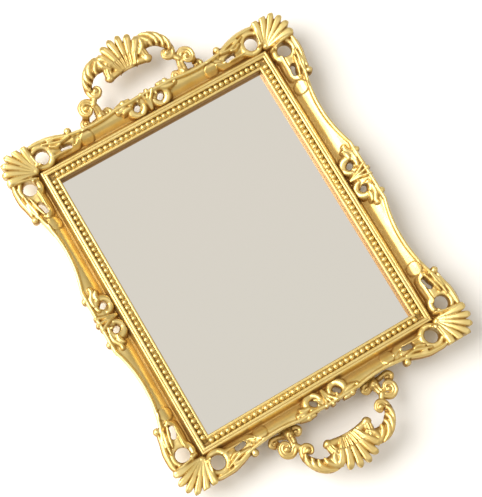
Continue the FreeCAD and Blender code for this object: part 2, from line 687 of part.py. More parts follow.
def make_centre(name, reach, edge_reach, place_at, turn):
    """A centre cartouche, along its own X with the sight edge on Y = 0 and outwards along +Y."""
    inner = MOULDING_REACH
    body = new_body(name + "_plate")
    pad(body, draw(new_sketch(body, "XY_Plane", "plate"), [
        (-S.centre_span, inner),
        (S.centre_span, inner),
        (S.centre_span, edge_reach),
        (18, reach + 0.3, 24),
        (7, reach - 2, 20),
        (-7, reach - 2, 12),
        (-18, reach + 0.3, 20),
        (-S.centre_span, edge_reach, 24),
    ]), S.plate_top - S.plate_bottom)
    place(body, (0, 0, S.plate_bottom))

    ground = S.plate_top
    eye_y = inner + S.small_eye_radius + 2 * S.small_eye_rim - 0.4
    parts = [body]
    for side in SIDES:
        eye = (side * S.small_eye_place, eye_y, ground + S.small_eye_lift)
        parts.append(solid("Torus", "eye_scroll", eye, Radius2=S.small_eye_rim,
                           Radius1=S.small_eye_radius + S.eye_ledge + S.small_eye_rim))
        parts.append(solid("Sphere", "bud", (side * SMALL_BUD, reach - S.bud_radius, ground + 0.5),
                           Radius=S.bud_radius))
        parts.append(solid("Ellipsoid", "leaf", (side * SMALL_LEAF, reach - S.small_leaf_length, ground),
                           Rotation(UP, 90 + side * SMALL_LEAF_LEAN), Radius1=S.small_leaf_height,
                           Radius2=S.small_leaf_width, Radius3=S.small_leaf_length))
    for index, spread in enumerate(SPRAY):
        length = reach - inner - 4 - 0.05 * abs(spread)
        parts += flute(f"flute_{index}", (0, inner + 2, ground), math.radians(90 + spread), length,
                       S.spray_rise, S.spray_root_radius, S.spray_tip_radius)
    cutters = [solid("Cylinder", "eye_hole", (side * S.small_eye_place, eye_y, S.plate_bottom - PAST),
                     Radius=S.small_eye_radius, Height=THROUGH) for side in SIDES]
    cartouche = less(name, joined(name + "_relief", parts), joined(name + "_holes", cutters))
    return place(cartouche, place_at, turn)


def make_centres():
    """The four centre cartouches."""
    ends = (S.centre_reach_end, S.waist_reach_end + 1.8)
    sides = (S.centre_reach_side, S.waist_reach_side + 5.4)
    return [
        make_centre("centre_cartouche_top", *ends, (0, SIGHT_Y, 0), Rotation(UP, 0)),
        make_centre("centre_cartouche_bottom", *ends, (0, -SIGHT_Y, 0), Rotation(UP, 180)),
        make_centre("centre_cartouche_left", *sides, (-SIGHT_X, 0, 0), Rotation(UP, 90)),
        make_centre("centre_cartouche_right", *sides, (SIGHT_X, 0, 0), Rotation(UP, -90)),
    ]


# ------------------------------------------------------------------------------------- handles
def volute(x, y, z, radius, thickness):
    """A rolled scroll end: a ring with a round eye in it."""
    eye = radius - thickness + 0.4
    return [
        solid("Torus", "volute", (x, y, z), Radius1=radius - thickness, Radius2=thickness),
        solid("Sphere", "volute_eye", (x, y, z), Radius=eye),
    ]


def make_handle_half():
    """The right half of the far handle: arm, scrolls, stem, tab and foot."""
    z = S.handle_height
    arm_y = SIGHT_Y + S.handle_reach - 32
    screw_y = SIGHT_Y + S.handle_screw_reach
    parts = [
        solid("Torus", "arm", (S.arm_place, arm_y, z), Rotation(UP, -20),
              Radius1=S.arm_radius, Radius2=S.arm_thickness, Angle3=140),
        solid("Torus", "stem_scroll", (S.stem_place + 12, arm_y - 13, z - 2), Rotation(UP, 135),
              Radius1=12, Radius2=S.stem_thickness, Angle3=88),
        solid("Cone", "stem", (S.stem_place + 2, STEM_Y, TAB_BOTTOM + 1),
              Radius1=S.stem_thickness + S.stem_swell, Radius2=S.stem_thickness, Height=z - TAB_BOTTOM - 2),
        solid("Box", "tab", (S.stem_place - S.tab_width / 2, screw_y - S.tab_end, TAB_BOTTOM),
              Length=S.tab_width, Width=STEM_Y - screw_y + S.tab_end + S.stem_thickness,
              Height=S.tab_thickness),
        solid("Box", "base_scroll", (S.stem_place - 8, STEM_Y - S.stem_thickness, TAB_BOTTOM + 2),
              Length=20, Width=2 * S.stem_thickness, Height=12),
        solid("Cylinder", "foot", (S.stem_place, FOOT_Y, S.pad_thickness),
              Radius=S.foot_radius, Height=TAB_BOTTOM - S.pad_thickness + 1),
    ]
    inner_volute = (S.stem_place - 4.5, arm_y - 0.5, z + 1, 5.2, 2.4)
    outer_volute = (S.stem_place + 9, arm_y - 10.5, z - 1, 6.6, 2.7)
    outer_base_volute = (S.stem_place + 13.5, STEM_Y + 2.6, TAB_BOTTOM + 12, 5.2, 2.4)
    inner_base_volute = (S.stem_place - 3.6, STEM_Y + 1.8, TAB_BOTTOM + 11, 4.8, 2.3)
    for sizes in (inner_volute, outer_volute, outer_base_volute, inner_base_volute):
        parts += volute(*sizes)
    counterbore = S.head_height + S.head_play
    holes = [
        solid("Cylinder", "screw_hole", (S.stem_place, screw_y, TAB_BOTTOM - 1),
              Radius=S.screw_radius + S.head_play, Height=S.tab_thickness + 2),
        solid("Cylinder", "counterbore", (S.stem_place, screw_y, TAB_BOTTOM - 1),
              Radius=S.head_radius + S.head_play, Height=counterbore + 1),
    ]
    return less("handle_half", joined("handle_half_solid", parts), joined("handle_half_holes", holes))


def make_handles():
    """The far handle from two halves and its shell, and the near handle as its mirror image."""
    z = S.handle_height
    root_y = SIGHT_Y + S.shell_place
    grip_y = root_y + S.grip_place
    half = make_handle_half()
    halves = [half, mirrored("handle_other_half", half, Vector(1, 0, 0))]
    shell = [
        solid("Cylinder", "grip", (-S.shell_half_width, grip_y, z), Rotation(Vector(0, 1, 0), 90),
              Radius=S.grip_radius, Height=2 * S.shell_half_width),
        solid("Box", "web", (-S.shell_half_width, grip_y, z - S.web_thickness / 2),
              Length=2 * S.shell_half_width, Width=S.web_length, Height=S.web_thickness),
    ]
    for side in SIDES:
        turn = seam_towards(Vector(-side, 0, 0), Vector(0, 1, 0))
        shell.append(solid("Sphere", "curl", (side * S.shell_half_width, grip_y - 1.6, z), turn,
                           Radius=S.curl_radius))
    reach = S.handle_reach - S.shell_place
    for index in range(SHELL_FLUTES):
        spread = SHELL_SPREAD * (index / (SHELL_FLUTES - 1) - 0.5)
        rounding = SHELL_ROUND * (1 - math.cos(math.radians(2 * spread)))
        length = reach * (1 - rounding) - S.shell_tip_radius
        shell += flute(f"shell_flute_{index}", (0, root_y, z + 1), math.radians(90 + spread), length,
                       S.shell_rise, S.shell_root_radius, S.shell_tip_radius)
    top = joined("handle_top", [joined("shell", shell)] + halves)
    return [top, mirrored("handle_bottom", top, Vector(0, 1, 0))]


def make_foot_pads():
    """Felt pads under the handles' feet."""
    return group("foot_pads", [
        solid("Cylinder", "foot_pad", (side_x * S.stem_place, side_y * FOOT_Y, 0),
              Radius=S.pad_radius, Height=S.pad_thickness)
        for side_x in SIDES for side_y in SIDES
    ])


# --------------------------------------------------------------------------- screws and buttons
def make_screw(name, x, y, head_top):
    """A round-headed screw that points up; its head ends at head_top."""
    return joined(name, [
        solid("Cylinder", name + "_shank", (x, y, head_top - S.head_overlap),
              Radius=S.screw_radius, Height=S.screw_length),
        solid("Cylinder", name + "_head", (x, y, head_top - S.head_height),
              Radius=S.head_radius, Height=S.head_height),
    ])


def make_screws():
    """Handle screws up through the tabs, and turn button screws into the side rails."""
    handle_y = SIGHT_Y + S.handle_screw_reach
    handle_head = TAB_BOTTOM + S.head_height + S.head_play
    button_x = SIGHT_X + S.button_pivot_reach
    button_head = S.back_height - S.button_gap - S.button_thickness - S.head_play
    handle_screws = [
        make_screw("handle_screw", side_x * S.stem_place, side_y * handle_y, handle_head)
        for side_x in SIDES for side_y in SIDES
    ]
    button_screws = [
        make_screw("button_screw", side_x * button_x, side_y * S.button_spacing, button_head)
        for side_x in SIDES for side_y in SIDES
    ]
    return [group("handle_screws", handle_screws), group("turn_button_screws", button_screws)]


def make_turn_button(name, side_x, side_y):
    """A brass turn button: it holds the board in, and swings along the rail to let it out."""
    body = new_body(name)
    half = S.button_width / 2
    straight = S.button_reach - half
    pad(body, draw(new_sketch(body, "XY_Plane", "button"), [
        (0, -half),
        (half, 0, half),
        (0, half, half),
        (-straight, half),
        (-straight - half, 0, half),
        (-straight, -half, half),
    ]), S.button_thickness)
    pocket(body, ring(new_sketch(body, "XY_Plane", "pivot_hole"), 0, 0, PILOT_RADIUS), S.button_thickness)
    x = side_x * (SIGHT_X + S.button_pivot_reach)
    z = S.back_height - S.button_gap - S.button_thickness
    return place(body, (x, side_y * S.button_spacing, z), Rotation(UP, 0 if side_x > 0 else 180))


def make_turn_buttons():
    """Two turn buttons on each side rail."""
    spots = (("turn_button_right_far", 1, 1), ("turn_button_right_near", 1, -1),
             ("turn_button_left_far", -1, 1), ("turn_button_left_near", -1, -1))
    return [make_turn_button(name, side_x, side_y) for name, side_x, side_y in spots]


# ------------------------------------------------------------------------------------ assembly
def make_pane():
    """The silvered glass, the board behind it and the felt lining."""
    half_x = S.glass_width / 2
    half_y = S.glass_length / 2
    felt_x = half_x - S.felt_margin
    felt_y = half_y - S.felt_margin
    return [
        flat_piece("mirror_glass", half_x, half_y, GLASS_BOTTOM, S.glass_thickness),
        flat_piece("backing_board", half_x, half_y, BOARD_BOTTOM, S.board_thickness),
        flat_piece("felt_lining", felt_x, felt_y, S.back_height, S.felt_thickness),
    ]


def check(things):
    """Stop if any object failed, or any piece has no valid shape."""
    for thing in DOC.Objects:
        if {"Invalid", "Error"} & set(thing.State):
            raise RuntimeError(f"{thing.Name} failed: {thing.State}")
    for thing in things:
        if thing.Shape.isNull() or not thing.Shape.isValid() or not thing.Shape.Solids:
            raise RuntimeError(f"{thing.Name} has no valid shape")


def main():
    """Build every piece, check it and write it."""
    pieces = make_rails() + [make_splines()] + make_bead_strips() + make_corner() + make_centres()
    pieces += make_handles() + [make_foot_pads()] + make_screws() + make_turn_buttons() + make_pane()
    DOC.recompute()
    check(pieces)
    os.makedirs("parts", exist_ok=True)
    for piece in pieces:
        piece.Shape.exportStep(f"parts/{piece.Name}.step")
        print(piece.Name, len(piece.Shape.Solids), round(piece.Shape.Volume, 1))
    box = Part.Compound([piece.Shape for piece in pieces]).BoundBox
    print("box", box)


main()
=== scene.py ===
"""Gilt mirror tray with two scroll handles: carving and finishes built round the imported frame.

The tray lies flat.  X runs across the glass, Y from handle to handle and +Z is up.  Shapes are
worked out in millimetres and turn into metres when a mesh is made.
"""
from __future__ import annotations

import logging
import math
from dataclasses import dataclass, field
from enum import Enum
from typing import Callable, Iterable, Sequence

import bpy
import numpy as np
from mathutils import Matrix, Vector


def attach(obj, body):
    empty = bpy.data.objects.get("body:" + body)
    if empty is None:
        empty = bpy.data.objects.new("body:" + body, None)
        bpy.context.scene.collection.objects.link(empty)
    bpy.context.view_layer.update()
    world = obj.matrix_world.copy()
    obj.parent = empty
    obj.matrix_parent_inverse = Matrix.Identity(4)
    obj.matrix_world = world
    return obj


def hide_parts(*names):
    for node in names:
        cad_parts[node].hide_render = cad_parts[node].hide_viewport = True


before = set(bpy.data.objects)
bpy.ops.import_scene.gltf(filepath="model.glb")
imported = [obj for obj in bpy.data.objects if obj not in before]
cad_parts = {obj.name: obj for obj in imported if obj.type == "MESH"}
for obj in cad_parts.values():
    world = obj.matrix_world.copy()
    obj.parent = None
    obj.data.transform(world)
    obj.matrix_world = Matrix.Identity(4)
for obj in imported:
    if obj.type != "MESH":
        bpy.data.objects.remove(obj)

LOG = logging.getLogger("mirror_tray")
MM = 0.001
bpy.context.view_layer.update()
FAR_OUT = -99.0
LEAST_HALF = 0.5
NEIGHBOURS = [(step_x, step_y) for step_x in (-1, 0, 1) for step_y in (-1, 0, 1)]
BODY = "tray"

Array = np.ndarray
Point = tuple[float, float]
Colour = tuple[float, float, float, float]


# ------------------------------------------------------------------------------------------ shared sizes
@dataclass(frozen=True)
class TraySizes:
    """Levels and reaches that several pieces share, in millimetres."""

    sight_x: float = 97.5
    sight_y: float = 122.9
    back: float = 9.0
    glass_top: float = 15.6
    lip: float = 23.5
    channel_floor: float = 21.8
    band: float = 25.9
    rebate: float = 4.5
    rim_width: float = 3.0
    rim_top: float = 32.0
    waist_radius: float = 115.0
    waist_side: float = 26.9
    waist_end: float = 27.4
    waist_place_side: float = 65.0
    waist_place_end: float = 50.0
    ornament_floor: float = 11.0
    ceiling: float = 35.6
    ground_start: float = 15.4
    sink: float = 0.06
    slope_line: tuple[Point, ...] = (
        (14.8, 20.1), (16.2, 20.2), (17.5, 21.5), (19.5, 24.2), (22.0, 26.5), (24.5, 27.8), (28.0, 28.7),
        (33.5, 29.6), (42.0, 30.4),
    )
    under_line: tuple[Point, ...] = (
        (16.0, 9.0), (17.0, 12.0), (19.0, 15.5), (22.0, 18.5), (26.0, 20.5), (30.0, 21.6), (40.0, 22.4),
    )

    @staticmethod
    def read_line(line: tuple[Point, ...], reach: Array) -> Array:
        """Height of a line of (reach, height) corners."""
        return np.interp(reach, [u for u, _ in line], [z for _, z in line])

    def slope(self, reach: Array) -> Array:
        """Height of the outer slope.

        Args:
            reach: distance from the sight edge.

        Returns:
            The height of the gilt surface there.
        """
        return self.read_line(self.slope_line, reach)

    def slope_shade(self, reach: Array) -> Array:
        """Painted shade on the outer slope, from 0 to 1: darkest down by the gutter."""
        return 0.42 * np.clip((19.5 - np.asarray(reach, float)) / 3.5, 0, 1) ** 1.5

    def underside(self, reach: Array) -> Array:
        """Height of the cove under the outer slope."""
        return self.read_line(self.under_line, reach)

    def rimmed(self, reach: Array, edge: Array) -> Array:
        """Height of the outer slope with the rolled rim along its edge.

        Args:
            reach: distance from the sight edge.
            edge: the outer edge's own distance.

        Returns:
            The height of the gilt surface there.
        """
        half = self.rim_width / 2
        across = (edge - half - reach) / half
        roll = self.rim_top - half + half * np.sqrt(np.clip(1 - across ** 2, 0, 1))
        return np.where(np.abs(across) < 1, np.maximum(self.slope(reach), roll), self.slope(reach))

    def outline(self, along: Array, side: bool) -> Array:
        """Reach of the serpentine outer edge.

        Args:
            along: distance from the middle of the rail.
            side: True for a side rail, False for an end rail.

        Returns:
            The outer edge's distance from the sight edge.
        """
        if side:
            place, reach = self.waist_place_side, self.waist_side
        else:
            place, reach = self.waist_place_end, self.waist_end
        step = np.clip(np.abs(along) - place, -60, 60)
        return reach + self.waist_radius - np.sqrt(self.waist_radius ** 2 - step ** 2)


SIZES = TraySizes()


# ------------------------------------------------------------------------------------------ shared tools
def add_node(tree: bpy.types.NodeTree, kind: str, settings: dict | None = None,
             inputs: dict | None = None) -> bpy.types.Node:
    """Add a node to a tree.

    Args:
        tree: the tree.
        kind: the node's type.
        settings: attributes, set first.
        inputs: values or links by socket name or number.

    Returns:
        The node.
    """
    made = tree.nodes.new(kind)
    for key, value in (settings or {}).items():
        setattr(made, key, value)
    for key, value in (inputs or {}).items():
        if isinstance(value, bpy.types.NodeSocket):
            tree.links.new(value, made.inputs[key])
        else:
            made.inputs[key].default_value = value
    return made


def placed(name: str, data: bpy.types.ID) -> bpy.types.Object:
    """Put a mesh, light or camera into the scene as an object at the origin."""
    made = bpy.data.objects.new(name, data)
    bpy.context.scene.collection.objects.link(made)
    return made


def write_painted_shade(mesh: bpy.types.Mesh, depths: Array) -> None:
    """Give a mesh the attribute of painted shade that darkens its recesses, from 0 to 1 at each corner."""
    layer = mesh.attributes.new("painted_shade", "FLOAT", "POINT")
    layer.data.foreach_set("value", np.clip(depths, 0, 1).astype(np.float32))


# ------------------------------------------------------------------------------------------ shader tools
class Socket:
    """A node output with arithmetic: an expression on sockets adds the Math nodes that work it out."""

    def __init__(self, shader: "Shader", output: bpy.types.NodeSocket) -> None:
        """Wrap one output of one shader's node."""
        self.shader = shader
        self.output = output

    def _math(self, operation: str, first: object, second: object, clamp: bool = False) -> "Socket":
        """Add one Math node."""
        settings = {"operation": operation, "use_clamp": clamp}
        return self.shader.node("ShaderNodeMath", settings, {0: first, 1: second})

    def __add__(self, other: object) -> "Socket":
        """Sum."""
        return self._math("ADD", self, other)

    def __mul__(self, other: object) -> "Socket":
        """Product."""
        return self._math("MULTIPLY", self, other)

    def __sub__(self, other: object) -> "Socket":
        """Difference."""
        return self._math("SUBTRACT", self, other)

    def clamped(self) -> "Socket":
        """The same value held between 0 and 1."""
        return self._math("ADD", self, 0.0, clamp=True)


class Shader:
    """One material's node tree."""

    def __init__(self, name: str) -> None:
        """Start an empty material with its output node."""
        self.material = bpy.data.materials.new(name)
        self.material.use_nodes = True
        self.tree = self.material.node_tree
        self.tree.nodes.clear()
        self.end = self.tree.nodes.new("ShaderNodeOutputMaterial")

    def node(self, kind: str, settings: dict | None = None, inputs: dict | None = None,
             output: int | str = 0) -> Socket:
        """Add a node and wrap the output that is asked for."""
        plain = {key: getattr(value, "output", value) for key, value in (inputs or {}).items()}
        return Socket(self, add_node(self.tree, kind, settings, plain).outputs[output])

    def place(self) -> Socket:
        """The object's own coordinates."""
        return self.node("ShaderNodeTexCoord", output="Object")

    def mixed(self, factor: object, first: object, second: object) -> Socket:
        """Blend two colours by a factor."""
        return self.node("ShaderNodeMix", {"data_type": "RGBA"}, {0: factor, 6: first, 7: second}, output=2)

    def stretched(self, scale: tuple[float, float, float]) -> Socket:
        """The object's own coordinates, stretched."""
        return self.node("ShaderNodeMapping", None, {"Vector": self.place(), "Scale": scale})

    def noise(self, scale: float, detail: float = 3.0, vector: Socket | None = None) -> Socket:
        """Soft noise on the object's coordinates, from 0 to 1."""
        return self.node("ShaderNodeTexNoise", {"noise_dimensions": "3D"},
                         {"Vector": vector or self.place(), "Scale": scale, "Detail": detail})

    def bump(self, height: Socket, strength: float, distance: float) -> Socket:
        """A normal bent by a height."""
        inputs = {"Height": height, "Strength": strength, "Distance": distance}
        return self.node("ShaderNodeBump", None, inputs, output="Normal")

    def finish(self, inputs: dict) -> bpy.types.Material:
        """Close the tree with the main shader.

        Args:
            inputs: the shader's sockets by name.

        Returns:
            The material.
        """
        surface = self.node("ShaderNodeBsdfPrincipled", None, inputs)
        self.tree.links.new(surface.output, self.end.inputs["Surface"])
        return self.material


# ------------------------------------------------------------------------------------------ finishes
@dataclass(frozen=True)
class GoldLeaf:
    """Gilding over a resin casting: gold in random warm and bright patches, turned brown by painted shade in
    recesses.
    """

    name: str
    bright: Colour = (0.895, 0.745, 0.36, 1.0)
    warm: Colour = (0.745, 0.54, 0.15, 1.0)
    painted_shade: Colour = (0.35, 0.18, 0.035, 1.0)
    roughness: float = 0.33
    grain: float = 0.35
    metallic: float = 0.82

    def material(self) -> bpy.types.Material:
        """Build the material; painted shade in recesses comes from the mesh's own painted-shade attribute."""
        shader = Shader(self.name)
        # Painted shade: the mesh's painted-shade attribute, with a little fine mottle, turns the gold brown
        # and rougher in recesses.
        depth = shader.node("ShaderNodeAttribute", {"attribute_name": "painted_shade"}, output="Fac")
        cloudy = shader.noise(90.0, 2.0)
        fine = shader.noise(900.0, 4.0)
        tone = shader.mixed(cloudy, self.warm, self.bright)
        shade_and_mottle = (depth * 1.15 + (fine - 0.5) * 0.30).clamped()
        colour = shader.mixed(shade_and_mottle, tone, self.painted_shade)
        rough = (fine * 0.16 + shade_and_mottle * 0.22 + (self.roughness - 0.08)).clamped()
        relief = fine * 0.5 + shader.noise(260.0, 3.0)
        return shader.finish({
            "Base Color": colour, "Roughness": rough, "Metallic": self.metallic,
            "Normal": shader.bump(relief, self.grain, 0.00035),
        })


@dataclass(frozen=True)
class Silvering:
    """The looking glass."""

    name: str = "looking_glass"
    tint: Colour = (0.93, 0.915, 0.89, 1.0)
    cool: Colour = (0.905, 0.915, 0.89, 1.0)

    def material(self) -> bpy.types.Material:
        """Build the material, a touch cooler in places."""
        shader = Shader(self.name)
        drift = shader.noise(4.0, 1.0)
        return shader.finish({
            "Base Color": shader.mixed(drift, self.tint, self.cool), "Metallic": 1.0,
            "Roughness": shader.noise(14.0, 2.0) * 0.012 + 0.012,
        })


@dataclass(frozen=True)
class Hardboard:
    """Brown pressed-fibre board behind the glass."""

    name: str = "hardboard"
    light: Colour = (0.30, 0.175, 0.085, 1.0)
    dark: Colour = (0.16, 0.085, 0.04, 1.0)

    def material(self) -> bpy.types.Material:
        """Build the material: flecks of fibre over a dull ground."""
        shader = Shader(self.name)
        fibre = shader.noise(1400.0, 5.0, shader.stretched((1.0, 0.35, 1.0)))
        blotch = shader.noise(60.0, 2.0)
        return shader.finish({
            "Base Color": shader.mixed((fibre * 0.8 + blotch * 0.4 - 0.1).clamped(), self.dark, self.light),
            "Roughness": fibre * 0.2 + 0.6,
            "Normal": shader.bump(fibre, 0.5, 0.0003),
        })


@dataclass(frozen=True)
class Felt:
    """Short-pile felt."""

    name: str = "felt"
    light: Colour = (0.045, 0.10, 0.06, 1.0)
    dark: Colour = (0.018, 0.05, 0.03, 1.0)

    def material(self) -> bpy.types.Material:
        """Build the material: matted fibres, rough and slightly lit at grazing angles."""
        shader = Shader(self.name)
        mat = shader.noise(1800.0, 6.0)
        patch = shader.noise(35.0, 2.0)
        return shader.finish({
            "Base Color": shader.mixed((mat * 0.9 + patch * 0.4 - 0.15).clamped(), self.dark, self.light),
            "Roughness": 0.95, "Sheen Weight": 0.35, "Sheen Roughness": 0.5,
            "Normal": shader.bump(mat, 0.8, 0.0004),
        })


@dataclass(frozen=True)
class BareMetal:
    """Turned or stamped metal: steel or brass."""

    name: str
    light: Colour
    dark: Colour
    roughness: float = 0.3

    def material(self) -> bpy.types.Material:
        """Build the material: faint drawn lines and a few dull marks."""
        shader = Shader(self.name)
        drawn = shader.noise(1500.0, 3.0, shader.stretched((0.2, 1.0, 1.0)))
        dull = shader.noise(120.0, 3.0)
        return shader.finish({
            "Base Color": shader.mixed(dull, self.dark, self.light), "Metallic": 1.0,
            "Roughness": drawn * 0.15 + dull * 0.15 + (self.roughness - 0.12),
            "Normal": shader.bump(drawn, 0.15, 0.0001),
        })


class Finish(Enum):
    """The finishes that the tray's pieces wear."""

    CARVING = GoldLeaf("gold_leaf_carving")
    MOULDING = GoldLeaf("gold_leaf_moulding")
    CASTING = GoldLeaf("gold_leaf_casting", bright=(0.85, 0.68, 0.31, 1.0), warm=(0.66, 0.445, 0.12, 1.0))
    PEARL = GoldLeaf("gold_leaf_pearls", roughness=0.34, grain=0.2)
    GLASS = Silvering()
    BOARD = Hardboard()
    FELT = Felt()
    STEEL = BareMetal("steel", (0.62, 0.61, 0.59, 1.0), (0.42, 0.41, 0.40, 1.0), 0.3)
    BRASS = BareMetal("brass", (0.80, 0.58, 0.26, 1.0), (0.55, 0.37, 0.15, 1.0), 0.33)


class Paintbox:
    """Builds each finish once and hands it out."""

    def __init__(self) -> None:
        """Start with no finish built."""
        self._made: dict[Finish, bpy.types.Material] = {}

    def __call__(self, finish: Finish) -> bpy.types.Material:
        """The material of a finish."""
        if finish not in self._made:
            self._made[finish] = finish.value.material()
        return self._made[finish]


PAINT = Paintbox()


# ------------------------------------------------------------------------------------------ mesh tools
def sampled(points: Sequence[Point], count: int = 40) -> Array:
    """A smooth path through points.

    Args:
        points: the points, in order.
        count: how many samples to return.

    Returns:
        The samples, evenly spread over the runs.
    """
    ends = np.asarray(points, float)
    if len(ends) == 2:
        share = np.linspace(0, 1, count)[:, None]
        return ends[0] * (1 - share) + ends[1] * share
    padded = np.vstack([2 * ends[0] - ends[1], ends, 2 * ends[-1] - ends[-2]])
    spots = np.linspace(0, len(ends) - 1 - 1e-9, count)
    run = spots.astype(int)
    t = (spots - run)[:, None]
    a, b, c, d = (padded[run + k] for k in range(4))
    bend = (2 * a - 5 * b + 4 * c - d) * t ** 2
    return 0.5 * (2 * b + (c - a) * t + bend + (3 * b - a - 3 * c + d) * t ** 3)


def turned(centre: Point, start: float, end: float, radius: float, end_radius: float | None = None,
           count: int = 48) -> Array:
    """An arc or a spiral.

    Args:
        centre: its centre.
        start: first angle, in degrees.
        end: last angle, in degrees.
        radius: radius at the start.
        end_radius: radius at the end, the same if left out.
        count: how many samples to return.

    Returns:
        The samples along it.
    """
    angle = np.radians(np.linspace(start, end, count))
    reach = np.linspace(radius, radius if end_radius is None else end_radius, count)
    return np.stack([centre[0] + reach * np.cos(angle), centre[1] + reach * np.sin(angle)], axis=1)


def sided(points: Sequence[Point], way: int, count: int = 40) -> Array:
    """A smooth path through points, with X turned to one side: way is -1 or 1."""
    return sampled([(way * x, y) for x, y in points], count)


def solid_object(name: str, points: Array, faces: Iterable[Sequence[int]], finish: Finish,
                 painted_shade: Array) -> bpy.types.Object:
    """Make an object from millimetre points.

    Args:
        name: the object's name.
        points: its corners, in millimetres.
        faces: its faces as corner numbers.
        finish: what it wears.
        painted_shade: how dark the painted shade is at each corner, from 0 to 1.

    Returns:
        The new object, standing at the origin.
    """
    mesh = bpy.data.meshes.new(name)
    mesh.from_pydata((np.asarray(points, float) * MM).tolist(), [], [list(map(int, face)) for face in faces])
    mesh.update()
    write_painted_shade(mesh, painted_shade)
    mesh.polygons.foreach_set("use_smooth", np.full(len(mesh.polygons), True))
    mesh.materials.append(PAINT(finish))
    return placed(name, mesh)


def settle(piece: bpy.types.Object, slot: str, *nodes: str) -> None:
    """Let a piece ride on the tray and stand for the nodes that it replaces.

    Args:
        piece: the piece.
        slot: the material slot of the nodes that it replaces; not used.
        nodes: the nodes that it stands for.
    """
    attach(piece, BODY)
    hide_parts(*nodes)
    LOG.info("%s: %d faces", piece.name, len(piece.data.polygons))


# ------------------------------------------------------------------------------------------ carving
@dataclass
class Relief:
    """A carved piece on a fine grid: its plan, its upper surface and, where it is round, its underside.

    The plan is the distance inwards from the outline, negative outside.
    """

    low: Point
    high: Point
    pitch: float = 0.45
    floor: float | Array = 17.0
    round_edge: float = 0.9
    grid_x: Array = field(init=False)
    grid_y: Array = field(init=False)
    plan: Array = field(init=False)
    top: Array = field(init=False)
    under: Array = field(init=False)
    plain: Array = field(init=False)
    plain_shade: Array = field(init=False)

    def __post_init__(self) -> None:
        """Lay out the empty grid."""
        across = np.arange(self.low[0], self.high[0] + self.pitch, self.pitch)
        along = np.arange(self.low[1], self.high[1] + self.pitch, self.pitch)
        self.grid_x, self.grid_y = np.meshgrid(across, along, indexing="ij")
        self.plan = np.full(self.grid_x.shape, FAR_OUT)
        self.top = np.full(self.grid_x.shape, FAR_OUT)
        self.under = np.full(self.grid_x.shape, -FAR_OUT)
        self.plain = np.full(self.grid_x.shape, FAR_OUT)
        self.plain_shade = np.zeros(self.grid_x.shape)

    def trace(self, path: Array) -> tuple[Array, Array, Array]:
        """Measure every grid point against a path.

        Args:
            path: the path's samples.

        Returns:
            The distance to the path, how far along it the nearest point lies (0 to 1), and the side,
            left positive.
        """
        nearest = np.full(self.grid_x.shape, 1e9)
        share = np.zeros(self.grid_x.shape)
        side = np.ones(self.grid_x.shape)
        for index in range(len(path) - 1):
            start, step = path[index], path[index + 1] - path[index]
            length = float(step @ step) + 1e-12
            off_x, off_y = self.grid_x - start[0], self.grid_y - start[1]
            t = np.clip((off_x * step[0] + off_y * step[1]) / length, 0, 1)
            away = (off_x - t * step[0]) ** 2 + (off_y - t * step[1]) ** 2
            closer = away < nearest
            nearest = np.where(closer, away, nearest)
            share = np.where(closer, (index + t) / (len(path) - 1), share)
            side = np.where(closer, np.sign(step[0] * off_y - step[1] * off_x), side)
        return np.sqrt(nearest), share, side

    @staticmethod
    def spread(values: object, share: Array) -> Array:
        """Spread a number, or a list of numbers along a path, over the grid."""
        listed = np.atleast_1d(np.asarray(values, float))
        return np.interp(share, np.linspace(0, 1, len(listed)), listed)

    def add(self, inwards: Array, height: Array, blend: float = 0.6, under: Array | None = None) -> None:
        """Join a shape to the piece.

        Args:
            inwards: the shape's own plan.
            height: its upper surface.
            blend: how softly it runs into what it crosses.
            under: its underside, where it is round.
        """
        within = inwards > -1.5 * self.pitch
        height = np.where(within, height, FAR_OUT)
        gap = np.abs(self.top - height)
        softened = np.maximum(self.top, height) + np.maximum(blend - gap, 0) ** 2 / (4 * blend)
        self.top = np.where(within, softened, self.top)
        self.plan = np.maximum(self.plan, inwards)
        if under is not None:
            self.under = np.where(within, np.minimum(self.under, under), self.under)

    def ground(self, inwards: Array, height: Array, painted_shade: Array) -> None:
        """Lay a plain ground, with the same painted shade as the slope that it carries on."""
        self.add(inwards, height, 0.4)
        within = inwards > -1.5 * self.pitch
        self.plain = np.where(within, np.maximum(self.plain, height), self.plain)
        self.plain_shade = np.where(within, painted_shade, self.plain_shade)

    def stroke(self, path: Array, width: object, foot: object, rise: object, veins: int = 0,
               depth: float = 0.5, fullness: float = 0.8, blend: float = 0.5) -> None:
        """Carve a rounded band along a path.

        Args:
            path: the path's samples.
            width: half width, one number or several along the path.
            foot: height of its edges.
            rise: how far its crest stands above its edges.
            veins: grooves along it.
            depth: depth of the grooves.
            fullness: 1 for a flat arch, 0.5 for a full round.
            blend: how softly it runs into what it crosses.
        """
        distance, share, side = self.trace(path)
        half = self.spread(width, share)
        across = np.clip(distance / half, 0, 1)
        height = self.spread(foot, share) + self.spread(rise, share) * (1 - across ** 2) ** fullness
        if veins:
            phase = (side * across + 1) * 0.5 * (veins + 1)
            height -= depth * (0.5 + 0.5 * np.cos(2 * math.pi * phase)) ** 2 * (across < 0.93)
        self.add(half - distance, height, blend)

    def tube(self, path: Array, width: object, middle: object, veins: int = 0, depth: float = 0.6,
             flat: float = 1.0, blend: float = 0.8) -> None:
        """Run a round bar along a path.

        Args:
            path: the path's samples.
            width: half width, one number or several along the path.
            middle: height of its centre line.
            veins: grooves along its upper side.
            depth: depth of the grooves.
            flat: height against width.
            blend: how softly it runs into what it crosses.
        """
        distance, share, side = self.trace(path)
        half = self.spread(width, share)
        across = np.clip(distance / half, 0, 1)
        bulge = flat * half * np.sqrt(1 - across ** 2)
        centre = self.spread(middle, share)
        upper = centre + bulge
        if veins:
            phase = (side * across + 1) * 0.5 * (veins + 1)
            upper = upper - depth * (0.5 + 0.5 * np.cos(2 * math.pi * phase)) ** 2 * (across < 0.9)
        self.add(half - distance, upper, blend, centre - bulge)

